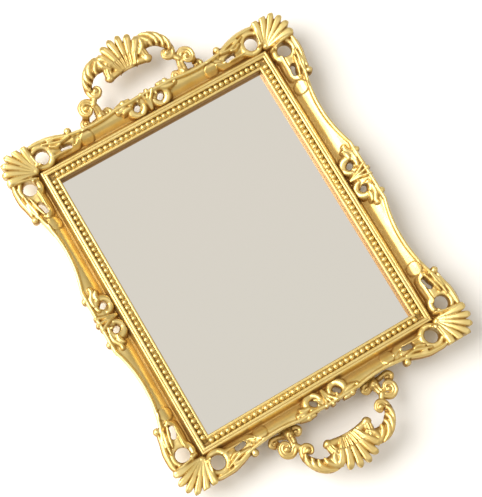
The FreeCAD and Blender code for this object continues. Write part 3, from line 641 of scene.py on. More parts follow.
    def ball(self, centre: Point, radius: float, foot: float, rise: float) -> None:
        """Set a rounded bud."""
        distance = np.hypot(self.grid_x - centre[0], self.grid_y - centre[1])
        across = np.clip(distance / radius, 0, 1)
        self.add(radius - distance, foot + rise * np.sqrt(1 - across ** 2), 0.4)

    def boss(self, centre: Point, radius: float, lift: float) -> None:
        """Raise a low round boss with a clear edge out of what is there: the rolled end of a scroll."""
        distance = np.hypot(self.grid_x - centre[0], self.grid_y - centre[1])
        across = distance / radius
        step = np.clip((1.06 - across) / 0.16, 0, 1)
        self.top = self.top + lift * step * (1.1 - 0.25 * np.clip(across, 0, 1) ** 2)

    def swell(self, path: Array, width: object, lift: object, edge: float = 0.5) -> None:
        """Raise a broad low band out of what is there.

        Args:
            path: the path's samples.
            width: half width, one number or several along the path.
            lift: how far it rises.
            edge: share of the half width that is its shoulder.
        """
        distance, share, _ = self.trace(path)
        across = distance / self.spread(width, share)
        shoulder = np.clip((1 - across) / edge, 0, 1)
        self.top = self.top + self.spread(lift, share) * (1 - (1 - shoulder) ** 2)

    def knob(self, centre: Point, radius: float, middle: float, flat: float = 1.0) -> None:
        """Set a round knob that is free underneath."""
        distance = np.hypot(self.grid_x - centre[0], self.grid_y - centre[1])
        bulge = flat * radius * np.sqrt(1 - np.clip(distance / radius, 0, 1) ** 2)
        self.add(radius - distance, middle + bulge, 0.4, middle - bulge)

    def fan(self, root: Point, edges: Sequence[float], reaches: Sequence[float], foot: float, rise: float,
            swell: float, start: float = 2.0, thickness: float | None = None, notch: float = 0.7,
            splay: float = 0.0) -> None:
        """Carve a shell of dished flutes that spread from a root.

        Args:
            root: the point that they spread from.
            edges: the angles between the flutes, in degrees, rising.
            reaches: each flute's length.
            foot: height at the root.
            rise: how far the shell climbs to its tips.
            swell: how far each flute swells above the gaps beside it.
            start: where the flutes begin.
            thickness: the shell's thickness, where its underside is free.
            notch: share of its length at which a flute parts from its neighbours.
            splay: how far the outermost flutes bend outwards, in degrees.
        """
        off_x, off_y = self.grid_x - root[0], self.grid_y - root[1]
        reach = np.hypot(off_x, off_y)
        angle = np.degrees(np.arctan2(off_y, off_x))
        middle = 0.5 * (edges[0] + edges[-1])
        bent = np.clip(reach / max(reaches), 0, 1) ** 2
        angle = angle - splay * bent * (angle - middle) / (0.5 * (edges[-1] - edges[0]))
        flute = np.clip(np.searchsorted(edges, angle) - 1, 0, len(reaches) - 1)
        bounds = np.asarray(edges, float)
        first, last = bounds[flute], bounds[flute + 1]
        phase = np.clip((2 * angle - first - last) / (last - first), -1.3, 1.3)
        length = np.asarray(reaches, float)[flute]
        half_angle = np.radians((last - first) / 2)
        turned_by = np.radians(angle - (first + last) / 2)
        along_flute = reach * np.cos(turned_by)
        past = np.clip((along_flute / length - notch) / (1 - notch), 0, 1.2)
        half_width = along_flute * np.tan(half_angle) * 1.04 * np.sqrt(np.clip(1 - past ** 2, 0, 1))
        beside = half_width - reach * np.abs(np.sin(turned_by)) + 0.02
        rounded = np.minimum(beside, (length - along_flute) * 0.7)
        inside = np.minimum(rounded, (reach - start) * 0.8)
        past_edge = -reach * np.radians(np.maximum(edges[0] - angle, angle - edges[-1]))
        between = (angle > edges[0]) & (angle < edges[-1])
        sweep = np.where(between, inside, np.minimum(inside, past_edge))
        share = np.clip(reach / length, 0, 1)
        climb = foot + rise * np.sin(share * math.pi * 0.56)
        across = np.clip(np.abs(phase), 0, 1)
        arch = np.sqrt(np.clip(1 - across ** 3.6, 0, 1)) - 0.8
        crease = 0.3 * np.exp(-(phase / 0.16) ** 2) * (share > 0.35)
        curl = -2.4 * np.clip((share - 0.88) / 0.12, 0, 1) ** 2
        height = climb + swell * (np.clip(share * 1.2, 0.25, 1) * arch - 0.12 * crease) + curl
        self.add(sweep, height, 0.5, None if thickness is None else height - thickness)

    def groove(self, path: Array, width: float, depth: float) -> None:
        """Cut a soft line."""
        distance, _, _ = self.trace(path)
        self.top = self.top - depth * np.exp(-(distance / width) ** 2)

    def hole(self, path: Array, width: float) -> None:
        """Cut right through along a path, or round a point given twice."""
        distance, _, _ = self.trace(path)
        self.plan = np.minimum(self.plan, distance - width)

    @staticmethod
    def shifted(values: Array, step_x: int, step_y: int, fill: float) -> Array:
        """The grid moved by whole steps."""
        moved = np.full(values.shape, fill, values.dtype)
        rows, columns = values.shape
        moved[max(step_x, 0):rows + min(step_x, 0), max(step_y, 0):columns + min(step_y, 0)] = \
            values[max(-step_x, 0):rows + min(-step_x, 0), max(-step_y, 0):columns + min(-step_y, 0)]
        return moved

    def filled(self, values: Array, inside: Array, rounds: int = 4) -> Array:
        """Carry a surface a few steps past its outline."""
        known, held = inside.copy(), np.where(inside, values, 0.0)
        for _ in range(rounds):
            total, count = np.zeros(held.shape), np.zeros(held.shape)
            for step_x, step_y in NEIGHBOURS:
                total += self.shifted(np.where(known, held, 0.0), step_x, step_y, 0.0)
                count += self.shifted(known.astype(float), step_x, step_y, 0.0)
            fresh = ~known & (count > 0)
            held = np.where(fresh, total / np.maximum(count, 1), held)
            known |= fresh
        return held

    def blurred(self, values: Array, inside: Array, reach: float) -> Array:
        """A soft mean of a surface over its own plan."""
        steps = max(int(round(reach / self.pitch)), 1)
        weight = inside.astype(float)
        total = np.where(inside, values, 0.0)
        for axis in (0, 1):
            sum_value, sum_weight = np.zeros(total.shape), np.zeros(total.shape)
            for step in range(-2 * steps, 2 * steps + 1):
                share = math.exp(-(step / steps) ** 2)
                move = (step, 0) if axis == 0 else (0, step)
                sum_value += share * self.shifted(total, *move, 0.0)
                sum_weight += share * self.shifted(weight, *move, 0.0)
            total, weight = sum_value, sum_weight
        return total / np.maximum(weight, 1e-6)

    def sample(self, values: Array, x: Array, y: Array) -> Array:
        """Read the grid between its points."""
        across = np.clip((x - self.low[0]) / self.pitch, 0, values.shape[0] - 1.001)
        along = np.clip((y - self.low[1]) / self.pitch, 0, values.shape[1] - 1.001)
        i, j = across.astype(int), along.astype(int)
        u, v = across - i, along - j
        return ((values[i, j] * (1 - u) + values[i + 1, j] * u) * (1 - v)
                + (values[i, j + 1] * (1 - u) + values[i + 1, j + 1] * u) * v)

    def surfaces(self, solid: Array, free: Array) -> tuple[Array, Array]:
        """The upper surface and the underside, softened and rounded off at the outline.

        Args:
            solid: where the piece is.
            free: where its underside is flat.

        Returns:
            Both heights.
        """
        level = self.filled(self.top, solid)
        near = self.plan > -2 * self.pitch
        smooth = 0.5 * level + 0.5 * self.blurred(level, near, self.pitch)
        level = np.where(near, smooth, level)
        if not free[solid].any():
            round_off = np.clip(self.round_edge - self.plan, 0, self.round_edge)
            level = level - (self.round_edge - np.sqrt(np.maximum(self.round_edge ** 2 - round_off ** 2, 0)))
        return level, self.filled(np.where(free, self.under, self.floor), solid)

    def shade_map(self, level: Array, solid: Array) -> Array:
        """Painted shade at each grid point, from 0 to 1: darker in recesses and on steep walls.

        Args:
            level: the upper surface.
            solid: where the piece is.

        Returns:
            The share, taken from the plain slope's painted shade where nothing is carved.
        """
        # Painted shade: darker where the surface lies below its own blurred mean, and on steep walls.
        shade_amount = np.clip((self.blurred(level, solid, 1.6) - level) / 1.5, 0, 1)
        shade_amount = np.maximum(shade_amount, np.clip((self.blurred(level, solid, 4.0) - level) / 4.5, 0, 1))
        fall_x, fall_y = np.gradient(level, self.pitch)
        shade_amount = np.clip(shade_amount + 0.45 * np.clip((np.hypot(fall_x, fall_y) - 1.0) / 2.2, 0, 1), 0, 1)
        worked = np.clip(np.abs(self.top - self.plain) / 0.4, 0, 1)
        worked = np.clip(2.5 * self.blurred(worked, solid, 1.3), 0, 1)
        return shade_amount * worked + self.plain_shade * (1 - worked)

    def snapped(self, rim: Array) -> tuple[Array, Array]:
        """The grid with its rim points moved on to the outline.

        Args:
            rim: the points just outside.

        Returns:
            X and Y of every grid point.
        """
        slope_x, slope_y = np.gradient(self.plan, self.pitch)
        x, y = self.grid_x.copy(), self.grid_y.copy()
        for _ in range(2):
            gap = self.sample(self.plan, x, y)
            lean_x, lean_y = self.sample(slope_x, x, y), self.sample(slope_y, x, y)
            size = np.maximum(lean_x ** 2 + lean_y ** 2, 0.25)
            step = np.clip(-gap / size, -0.9 * self.pitch, 0.9 * self.pitch)
            x = np.where(rim, x + step * lean_x, x)
            y = np.where(rim, y + step * lean_y, y)
        return x, y

    def build(self) -> "Carving":
        """Close the piece into one skin.

        Returns:
            The carving.
        """
        free = self.under < -FAR_OUT
        solid = self.plan > 0
        level, lower = self.surfaces(solid, free)
        shade_amount = self.shade_map(level, solid)
        inside = self.plan > 0.3 * self.pitch
        grown = np.zeros(inside.shape, bool)
        for step_x, step_y in NEIGHBOURS:
            grown |= self.shifted(inside, step_x, step_y, False)
        rim = grown & ~inside
        x, y = self.snapped(rim)
        cell = (inside[:-1, :-1] | inside[1:, :-1] | inside[:-1, 1:] | inside[1:, 1:])
        used = np.zeros(inside.shape, bool)
        for di, dj in ((0, 0), (1, 0), (0, 1), (1, 1)):
            used[di:used.shape[0] - 1 + di, dj:used.shape[1] - 1 + dj] |= cell
        count = int(used.sum())
        number = np.full(inside.shape, -1)
        number[used] = np.arange(count)
        flat_x, flat_y = x[used], y[used]
        upper_z = self.sample(level, flat_x, flat_y)
        lower_z = self.sample(lower, flat_x, flat_y)
        i, j = np.nonzero(cell)
        quads = np.stack([number[i, j], number[i + 1, j], number[i + 1, j + 1], number[i, j + 1]], axis=1)
        edges = np.concatenate([quads[:, [k, (k + 1) % 4]] for k in range(4)])
        key = edges[:, 0] * (count + 1) + edges[:, 1]
        back = edges[:, 1] * (count + 1) + edges[:, 0]
        border = edges[~np.isin(key, back)]
        if free[solid].any():
            middle = 0.5 * (upper_z + lower_z)
            pinched = rim[used] & (self.sample(free.astype(float), flat_x, flat_y) > 0.5)
            upper_z = np.where(pinched, middle + LEAST_HALF, upper_z)
            lower_z = np.where(pinched, middle - LEAST_HALF, lower_z)
        lower_z = np.minimum(lower_z, upper_z - LEAST_HALF)
        top_points = np.stack([flat_x, flat_y, np.minimum(upper_z, SIZES.ceiling)], axis=1)
        low_points = np.stack([flat_x, flat_y, lower_z], axis=1)
        walls = np.stack([border[:, 1], border[:, 0], border[:, 0] + count, border[:, 1] + count], axis=1)
        faces = quads.tolist() + (quads[:, ::-1] + count).tolist() + walls.tolist()
        # Painted shade: sampled on the upper surface, a flat half shade on the underside.
        painted_shade = np.concatenate([self.sample(shade_amount, flat_x, flat_y), np.full(count, 0.5)])
        return Carving(np.vstack([top_points, low_points]), faces, painted_shade)


@dataclass
class Carving:
    """A finished skin that can be set down more than once, turned or mirrored."""

    points: Array
    faces: list
    painted_shade: Array
    # Painted shade at each point, from 0 to 1.

    def set_down(self, name: str, place: Callable[[Array], Array], flipped: bool,
                 finish: Finish) -> bpy.types.Object:
        """Make one copy.

        Args:
            name: the copy's name.
            place: moves the points to where they belong.
            flipped: True where that mirrors them.
            finish: what it wears.

        Returns:
            The copy.
        """
        faces = [face[::-1] for face in self.faces] if flipped else self.faces
        return solid_object(name, place(self.points), faces, finish, self.painted_shade)


def joined(parts: Sequence[Carving]) -> Carving:
    """Several skins as one."""
    faces, start = [], 0
    for part in parts:
        faces += [[corner + start for corner in face] for face in part.faces]
        start += len(part.points)
    return Carving(np.vstack([part.points for part in parts]), faces,
                   np.concatenate([part.painted_shade for part in parts]))


def lofted(rings: Sequence[Sequence[tuple[float, float, float, float]]]) -> Carving:
    """A skin through closed rings of X, Y, height and painted shade, with flat ends."""
    count, last = len(rings[0]), len(rings) - 1
    faces = []
    for start in range(0, last * count, count):
        for corner in range(count):
            a, b = start + corner, start + (corner + 1) % count
            faces.append([a, b, b + count, a + count])
    faces.append(list(range(count))[::-1])
    faces.append([last * count + corner for corner in range(count)])
    values = np.array([corner for ring in rings for corner in ring])
    return Carving(values[:, :3], faces, values[:, 3])


@dataclass(frozen=True)
class RailPlace:
    """Where one rail's pieces go, and whether that mirrors them."""

    spot: str
    side: bool
    flipped: bool

    def move(self, points: Array) -> Array:
        """Move points from X along the rail and Y outwards from the sight edge to the rail's own place."""
        if self.spot == "right":
            return np.stack([points[:, 1] + SIZES.sight_x, points[:, 0], points[:, 2]], axis=1)
        if self.spot == "left":
            return np.stack([-points[:, 1] - SIZES.sight_x, -points[:, 0], points[:, 2]], axis=1)
        moved = points + (0, SIZES.sight_y, 0)
        return moved if self.spot == "top" else moved * (1, -1, 1)


RAILS = (
    RailPlace("right", True, True),
    RailPlace("left", True, True),
    RailPlace("top", False, False),
    RailPlace("bottom", False, True),
)


# ------------------------------------------------------------------------------------------ corners
@dataclass
class CornerShell:
    """A pierced corner cartouche: a shell of six flutes between two scrolls and two leaves.

    It is carved for the far right corner, from the sight corner outwards.
    """

    root: Point = (12.0, 12.5)
    side_eye: Point = (26.0, 3.9)
    end_eye: Point = (4.3, 23.2)
    eye: float = 6.2
    ring: float = 8.5
    side_disc: Point = (21.8, -31.6)
    end_disc: Point = (-37.0, 19.6)
    disc: float = 6.0
    crest: float = 31.6
    side_arm: float = 82.9
    end_arm: float = 52.5

    def grounds(self, relief: Relief) -> None:
        """Lay the ground: the rails' own slope, running out to the serpentine edge and the rim."""
        a, b = relief.grid_x, relief.grid_y
        arms = ((a, b, SIZES.sight_y, self.side_arm, -8.0), (b, a, SIZES.sight_x, self.end_arm, -6.0))
        for out, along, sight, start, last in arms:
            edge = SIZES.outline(sight + np.minimum(along, last - 6), out is a)
            arm = sight - start
            across = np.minimum(out - SIZES.ground_start, edge - out)
            inwards = np.minimum(across, np.minimum(along + arm, last - along))
            relief.ground(inwards, SIZES.rimmed(out, edge) - SIZES.sink, SIZES.slope_shade(out))

        reach = np.maximum(a, b)
        strip = np.minimum(np.minimum(reach - SIZES.ground_start, 24.0 - reach), np.minimum(a, b) + 10.0)
        relief.ground(strip, SIZES.slope(reach) - SIZES.sink, SIZES.slope_shade(reach))

    def webs(self, relief: Relief) -> None:
        """Fill behind the scrolls and leaves."""
        a, b = relief.grid_x, relief.grid_y
        for path, width, out in (
            ([(27, -18), (28, -8), (27, 4), (26, 13)], [8.2, 9.0, 8.5, 8.0], a),
            ([(-19, 25.5), (-8, 26.5), (4, 25), (13, 26)], [7.0, 8.6, 9.4, 8.0], b),
            ([(17, 4), (19, 19), (6, 17)], [4.0, 7.0, 4.0], np.maximum(a, b)),
        ):
            distance, share, _ = relief.trace(sampled(path))
            relief.add(relief.spread(width, share) - distance, np.minimum(SIZES.slope(out) + 1.2, 28.4), 0.6)

    def side_scroll(self, relief: Relief) -> None:
        """Carve the scroll, its disc and the leaf along the side rail."""
        crest = self.crest
        relief.swell(sampled([(19.4, -1.0), (18.9, -9), (19.0, -16), (20.4, -21.5), (23.8, -24.4)]),
                     [2.8, 3.0, 3.3, 3.4, 2.2], [3.2, 3.0, 2.6, 2.3, 2.0])
        relief.boss(self.side_disc, self.disc, 1.5)
        for path, width, lift in (
            ([(36.4, 15.0), (37.6, 7.0), (37.4, -3), (36.0, -11), (35.4, -18)],
             [1.8, 2.9, 3.1, 2.6, 1.8], 0.0),
            ([(33.6, -0.5), (33.0, -7.5), (31.6, -14), (30.6, -20.0)], [1.2, 2.4, 2.5, 1.6], 0.5),
            ([(30.0, -5.0), (29.0, -10.5), (27.6, -16.5), (25.8, -21.8)], [1.2, 2.2, 2.2, 1.5], 0.2),
        ):
            relief.stroke(sampled(path), width, 27.2, crest - 27.2 + lift)
        relief.stroke(turned(self.side_eye, 130, 412, self.ring), [2.2, 3.0, 3.4, 3.4, 3.0, 2.2],
                      [24.8, 23.4, 24.6, 26.4, 27.4], [4.2, 3.8, 4.0, 4.0, 3.6], fullness=0.5)
        relief.stroke(turned((20.9, 9.6), 250, 470, 2.0, 1.0), [1.5, 1.5, 1.3], 28.0, 3.8)
        relief.ball((34.9, -22.2), 3.1, 29.0, 3.2)
        relief.ball((30.3, -22.0), 2.1, 28.6, 2.4)
        relief.ball((26.0, -23.4), 1.9, 28.2, 2.2)

    def end_scroll(self, relief: Relief) -> None:
        """Carve the scroll, its disc and the leaf along the end rail."""
        crest = self.crest
        relief.swell(sampled([(-2.5, 17.6), (-10, 17.2), (-18, 17.2), (-26, 17.6), (-30.2, 20.6)]),
                     [2.6, 2.6, 2.8, 3.2, 2.2], [3.6, 3.2, 2.8, 2.4, 2.0])
        relief.boss(self.end_disc, self.disc, 1.5)
        for path, width, lift in (
            ([(13.5, 34.2), (5.5, 34.9), (-4, 34.4), (-13, 32.4), (-20, 30.4)],
             [1.8, 2.8, 2.9, 2.5, 1.8], 0.0),
            ([(-1.0, 31.4), (-8, 29.0), (-15, 26.8), (-23.5, 27.0)], [1.2, 2.5, 2.5, 1.6], 0.5),
            ([(-5.5, 27.0), (-10.5, 24.6), (-14.5, 24.8)], [1.6, 2.2, 1.3], 0.3),
        ):
            relief.stroke(sampled(path), width, 27.2, crest - 27.2 + lift)
        relief.stroke(turned(self.end_eye, -40, -322, self.ring), [2.2, 3.0, 3.4, 3.4, 3.0, 2.2],
                      [24.8, 23.4, 24.6, 26.4, 27.4], [4.2, 3.8, 4.0, 4.0, 3.6], fullness=0.5)
        relief.stroke(turned((10.2, 18.0), 200, -20, 2.0, 1.0), [1.5, 1.5, 1.3], 28.0, 3.8)
        relief.ball((-25.0, 32.0), 3.1, 28.6, 3.2)
        relief.ball((-27.4, 27.2), 2.2, 28.4, 2.6)

    def shell(self, relief: Relief) -> None:
        """Carve the shell and the thin leaf on each side of it."""
        relief.stroke(sampled([(17, 8.5), (27, 11.2), (35, 12.3), (38.6, 12.8)]), [1.4, 1.9, 1.9, 1.3], 28.5,
                      [3.0, 4.6, 5.0, 3.2])
        relief.stroke(sampled([(10, 17.5), (11.6, 26), (12.4, 32), (12.8, 35.6)]), [1.4, 1.8, 1.8, 1.3], 28.5,
                      [3.0, 4.6, 5.0, 3.2])
        relief.fan(self.root, (1, 17, 31, 44, 57, 72, 89), (29.0, 31.2, 32.4, 32.4, 30.0, 26.4),
                   27.0, 7.0, 3.4, notch=0.62, splay=5.0)
        relief.ball((14.6, 15.0), 2.6, 26.8, 2.2)

    def carve(self) -> Carving:
        """Carve the corner.

        Returns:
            The carving, from the sight corner outwards.
        """
        relief = Relief((-47, -42), (43, 38.5), 0.45, SIZES.ornament_floor)
        reach = np.maximum(relief.grid_x, relief.grid_y)
        relief.floor = np.maximum(SIZES.underside(reach), SIZES.ornament_floor)
        self.grounds(relief)
        self.webs(relief)
        self.side_scroll(relief)
        self.end_scroll(relief)
        self.shell(relief)
        for eye in (self.side_eye, self.end_eye):
            relief.hole(np.array([eye, (eye[0] + 0.01, eye[1])]), self.eye)
        relief.hole(sampled([(22.9, -19.2), (23.5, -15.5), (25.0, -12.2)], 12), 2.25)
        relief.hole(sampled([(-21.0, 20.7), (-17.6, 21.3), (-14.6, 21.6)], 12), 2.2)
        relief.plan = np.minimum(relief.plan, np.minimum(42.75 - relief.grid_x, 37.35 - relief.grid_y))
        return relief.build()

    def build(self) -> None:
        """Set down the four corners."""
        carving = self.carve()
        for end, sign_y in (("top", 1), ("bottom", -1)):
            for side, sign_x in (("right", 1), ("left", -1)):
                def place(points: Array, sx: int = sign_x, sy: int = sign_y) -> Array:
                    """Move the carving to its own corner."""
                    return (points + (SIZES.sight_x, SIZES.sight_y, 0)) * (sx, sy, 1)

                piece = carving.set_down(f"corner_carving_{end}_{side}", place, sign_x * sign_y < 0,
                                         Finish.CARVING)
                settle(piece, "gilt_ornament", f"corner_shell_{end}_{side}")


# ------------------------------------------------------------------------------------------ middles
@dataclass
class CentreCarving:
    """A cartouche in the middle of a rail: two small scrolls, a fan between them, a leaf and buds.

    It is carved with X along the rail and Y outwards from the sight edge.
    """

    reach: float
    leafy: bool
    eye_place: float = 11.3
    eye_reach: float = 21.9
    ring: float = 5.7
    crest: float = 31.4

    def ground(self, relief: Relief) -> None:
        """Lay the slope and its swelling outer edge."""
        s, t = relief.grid_x, relief.grid_y
        bulge = np.cos(np.clip(s / 31, -1, 1) * math.pi / 2) ** 2
        edge = (28.3 if self.leafy else 28.6) + (self.reach - 31.5) * bulge
        edge = np.maximum(edge, SIZES.outline(np.maximum(np.abs(s), 28), self.leafy))
        inwards = np.minimum(np.minimum(t - SIZES.ground_start, edge - t), 30.0 - np.abs(s))
        relief.ground(inwards, SIZES.rimmed(t, edge) - SIZES.sink, SIZES.slope_shade(t))

    def leaf(self, relief: Relief, way: int, long: bool) -> None:
        """Carve one side's leaf and bud.

        Args:
            relief: where to carve.
            way: -1 or 1, the side.
            long: True for the leaf with curling tips.
        """
        top = min(self.reach - 3.2, 31.2)
        if long:
            lobes = (
                [(13, 28.5), (19.5, 28.0), (25, 24.8), (28.6, 25.2)],
                [(15, 30.5), (21, top), (27.5, top - 0.4)],
                [(16.5, 23.5), (20.5, 23.6), (24.0, 21.6)],
            )
        else:
            lobes = (
                [(14.5, 26.5), (20.5, 25.0), (25.5, 24.6)],
                [(14.5, 29.5), (20, 28.4), (26.6, 27.4)],
                [(13, 31.0), (18.5, top), (23.6, top - 0.6)],
            )
        for lobe in lobes:
            path = sided(lobe, way)
            relief.stroke(path, [1.6, 2.7, 2.5, 1.5], 27.0, self.crest - 27.4, fullness=0.5)
        bud = (way * 20.5, min(self.reach - 2.9, 33.4))
        relief.ball(bud, 2.7, 29.0, 3.0)
        relief.ball((way * 27.6, 24.9 if long else 26.0), 1.9, 28.6, 2.4)

    def carve(self) -> Carving:
        """Carve the cartouche.

        Returns:
            The carving.
        """
        relief = Relief((-31, 14), (31, 38), 0.42, SIZES.ornament_floor)
        relief.floor = np.maximum(SIZES.underside(relief.grid_y), SIZES.ornament_floor)
        self.ground(relief)
        self.leaf(relief, 1, self.leafy)
        self.leaf(relief, -1, True)
        high = self.reach - 1.2
        for path, width in (
            ([(0.6, 15.6), (2.6, 23.0), (7.2, high - 3.2)], [1.3, 1.9, 2.3]),
            ([(0.0, 15.6), (0.6, 24.0), (2.3, high - 1.6)], [1.3, 1.8, 2.3]),
            ([(-0.6, 15.6), (-1.6, 24.0), (-3.4, high - 2.6)], [1.3, 1.8, 2.2]),
        ):
            relief.stroke(sampled(path), width, [21.4, 26.4, 28.0], [3.0, 4.0, 4.6])
        for way in (-1, 1):
            centre = (way * self.eye_place, self.eye_reach)
            start, end = (120, -170) if way > 0 else (60, 350)
            relief.stroke(turned(centre, start, end, self.ring, self.ring + 0.9), [2.3, 3.1, 3.5, 3.3, 2.2],
                          [27.0, 26.4, 24.2, 22.0, 24.2], [3.6, 3.8, 3.6, 3.2, 3.0], fullness=0.5)
            relief.ball((centre[0] - way * 2.2, centre[1] + 2.4), 1.6, 28.0, 2.6)
            eye = [(centre[0] - 0.9, centre[1] - 0.9), (centre[0] + 0.8, centre[1] + 0.8)]
            relief.hole(sampled(eye, 6), 2.5)
        return relief.build()


@dataclass
class CentreCarvings:
    """The four cartouches in the middles of the rails."""

    side_reach: float = 36.0
    end_reach: float = 33.0

    def build(self) -> None:
        """Set down the four cartouches."""
        side = CentreCarving(self.side_reach, True).carve()
        end = CentreCarving(self.end_reach, False).carve()
        for rail in RAILS:
            carving = side if rail.side else end
            piece = carving.set_down(f"centre_carving_{rail.spot}", rail.move, rail.flipped, Finish.CARVING)
            settle(piece, "gilt_ornament", f"centre_cartouche_{rail.spot}")


# ------------------------------------------------------------------------------------------ handles
@dataclass
class ScrollHandle:
    """A scroll handle: a shell on a grip, two leafy arms, scrolls, stems, tabs and feet."""

    height: float = 25.5
    stem_x: float = 39.0
    crop_y: float = 208.55
    screw_y: float = 136.9
    screw_hole: float = 2.3
    counterbore: float = 3.9
    foot_y: float = 150.3
    foot_radius: float = 6.0
    shell_root: Point = (0.0, 163.0)

    def arm(self, relief: Relief, way: int) -> None:
        """Carve one arm with its leaf and its inner scroll."""
        z = self.height
        relief.tube(
            sided([(10, 189.5), (18, 193.0), (25.5, 193.6), (32, 190.6), (37.0, 184.6), (39.4, 178.0),
                   (38.4, 172.4), (34.8, 170.6), (31.6, 173.4), (32.6, 176.9), (35.4, 176.6)], way, 90),
            [6.0, 6.8, 6.6, 5.6, 4.5, 3.5, 2.9, 2.6, 2.3, 2.0, 1.6],
            [z + 1.0, z + 0.6, z, z - 0.4, z - 0.4, z, z + 0.4, z + 0.6, z + 0.8, z + 1, z + 1],
            1, 0.7, 0.8)
        for path, width in (
            ([(16.5, 199.0), (22.0, 196.0), (26.0, 191.0), (26.6, 187.0)], [1.0, 2.2, 2.2, 1.0]),
            ([(22.5, 199.6), (28.6, 196.0), (32.0, 190.0), (31.6, 185.6)], [1.0, 2.2, 2.2, 1.0]),
            ([(29.5, 197.6), (34.4, 192.6), (36.4, 186.4), (35.4, 181.8)], [0.9, 2.0, 2.0, 1.0]),
            ([(35.6, 192.4), (39.2, 186.6), (39.8, 180.6), (38.4, 176.6)], [0.8, 1.7, 1.7, 0.9]),
            ([(14.5, 185.0), (19.0, 189.6), (20.0, 195.4), (17.0, 199.4)], [1.0, 2.2, 2.2, 1.0]),
        ):
            relief.tube(sided(path, way), width, z + 4.6)
        relief.knob((way * 34.7, 174.6), 2.7, z + 1.6)

    def scrolls(self, relief: Relief, way: int) -> None:
        """Carve one side's S-scroll and its base scrolls."""
        z = self.height
        relief.tube(
            sided([(40.2, 152.6), (41.0, 157.5), (41.4, 162.5), (43.4, 168.2), (47.8, 170.9),
                   (52.4, 168.2), (52.8, 162.8), (49.2, 160.2), (46.0, 162.4), (46.6, 165.2)], way, 80),
            [4.4, 4.0, 3.5, 3.2, 3.2, 3.1, 2.8, 2.4, 1.9, 1.5],
            [z - 9, z - 6, z - 3, z - 1.5, z - 1, z - 1, z - 1, z - 0.6, z - 0.2, z], 1, 0.9, 0.85)
        relief.knob((way * 48.6, 165.4), 2.4, z)
        relief.tube(sided([(36.4, 171.4), (38.6, 169.6), (41.4, 166.0)], way), [2.6, 2.4, 2.4], z - 0.8)
        relief.tube(sided([(41.0, 153.2), (46.5, 154.2), (51.0, 153.2), (55.4, 152.9), (58.0, 156.0),
                           (55.6, 159.2), (52.2, 158.2), (52.4, 155.6)], way, 70),
                    [2.8, 2.4, 2.2, 2.1, 2.0, 1.8, 1.5, 1.2], [14, 15, 16, 16.2, 16.4, 16.6, 17, 17.2])
        relief.knob((way * 54.2, 156.4), 1.9, 17.0)
        relief.tube(sided([(40.0, 153.0), (36.5, 153.0), (32.6, 153.2), (30.6, 156.4), (33.0, 159.4),
                           (36.4, 158.2), (36.2, 155.8)], way, 60),
                    [2.8, 2.4, 2.1, 2.0, 1.8, 1.5, 1.2], [14, 14.8, 15.2, 15.4, 15.8, 16.2, 16.6])
        relief.knob((way * 34.2, 156.4), 1.9, 16.2)
        off = np.hypot(relief.grid_x - way * 40.6, (relief.grid_y - 155.0) * 0.9)
        relief.add(3.6 - off, 23.0 - 0.25 * off ** 2, 0.8, np.full(off.shape, 4.2))

    def shell(self, relief: Relief) -> None:
        """Carve the grip and the shell on it."""
        z = self.height
        relief.tube(sampled([(-19.6, 179.0), (-16, 179.4), (-8, 180.6), (0, 180.9), (8, 180.6), (16, 179.4),
                             (19.6, 179.0)], 60), [3.0, 3.4, 3.1, 2.9, 3.1, 3.4, 3.0], z)
        for way in (-1, 1):
            relief.knob((way * 18.2, 178.6), 3.8, z + 0.4)
            relief.tube(sampled([(way * 18.0, 179.6), (way * 17.2, 184.4), (way * 15.4, 190.0)]),
                        [3.4, 4.0, 4.2], [z + 0.4, z + 1.4, z + 2], 2, 0.9)
        relief.fan(self.shell_root, (64, 73, 82, 90, 98, 107, 116),
                   (41.4, 44.4, 45.6, 45.6, 44.4, 41.4), z - 3.6, 10.4, 3.2, 17.5, 7.5, 0.76, 7.0)
        relief.tube(sampled([(-12, 182.6), (0, 184.2), (12, 182.6)]), [2.4, 3.0, 2.4], z - 0.6)
        for degrees in (64, 68.5, 73, 77.5, 82, 86, 90, 94, 98, 102.5, 107, 111.5, 116):
            way = np.array([math.cos(math.radians(degrees)), math.sin(math.radians(degrees))])
            root = np.array(self.shell_root)
            relief.groove(np.stack([root + 16.4 * way, root + 26.0 * way]), 0.6, 1.1)

    def carve(self) -> Carving:
        """Carve the far handle's open work.

        Returns:
            The carving.
        """
        relief = Relief((-60.5, 148.5), (60.5, 210.5), 0.42, SIZES.back, 0.6)
        for way in (-1, 1):
            self.scrolls(relief, way)
            self.arm(relief, way)
        self.shell(relief)
        relief.plan = np.minimum(relief.plan, self.crop_y - relief.grid_y)
        return relief.build()

    def tabs(self) -> list[Carving]:
        """Shape the two tabs with their feet, screw holes and counterbores.

        Returns:
            One carving for each tab and foot.
        """
        made = []
        for way in (-1, 1):
            x = way * self.stem_x
            tab = Relief((x - 9, 129.5), (x + 9, 159.5), 0.5, 4.0, 0.7)
            off_x, off_y = np.abs(tab.grid_x - x) - 5.5, np.abs(tab.grid_y - 144.3) - 11.4
            beyond = np.hypot(np.maximum(off_x, 0), np.maximum(off_y, 0))
            plate = 2.0 - beyond - np.minimum(np.maximum(off_x, off_y), 0)
            tab.add(plate, np.full(plate.shape, SIZES.back))
            screw = np.hypot(tab.grid_x - x, tab.grid_y - self.screw_y)
            tab.floor = np.where(screw < self.counterbore, 6.2, 4.0)
            tab.hole(np.array([(x, self.screw_y), (x + 0.01, self.screw_y)]), self.screw_hole)
            foot = Relief((x - 7.5, 142.5), (x + 7.5, 158.0), 0.5, 2.0, 0.5)
            disc = self.foot_radius - np.hypot(foot.grid_x - x, foot.grid_y - self.foot_y)
            foot.add(disc, np.full(disc.shape, 5.0))
            made += [tab.build(), foot.build()]
        return made

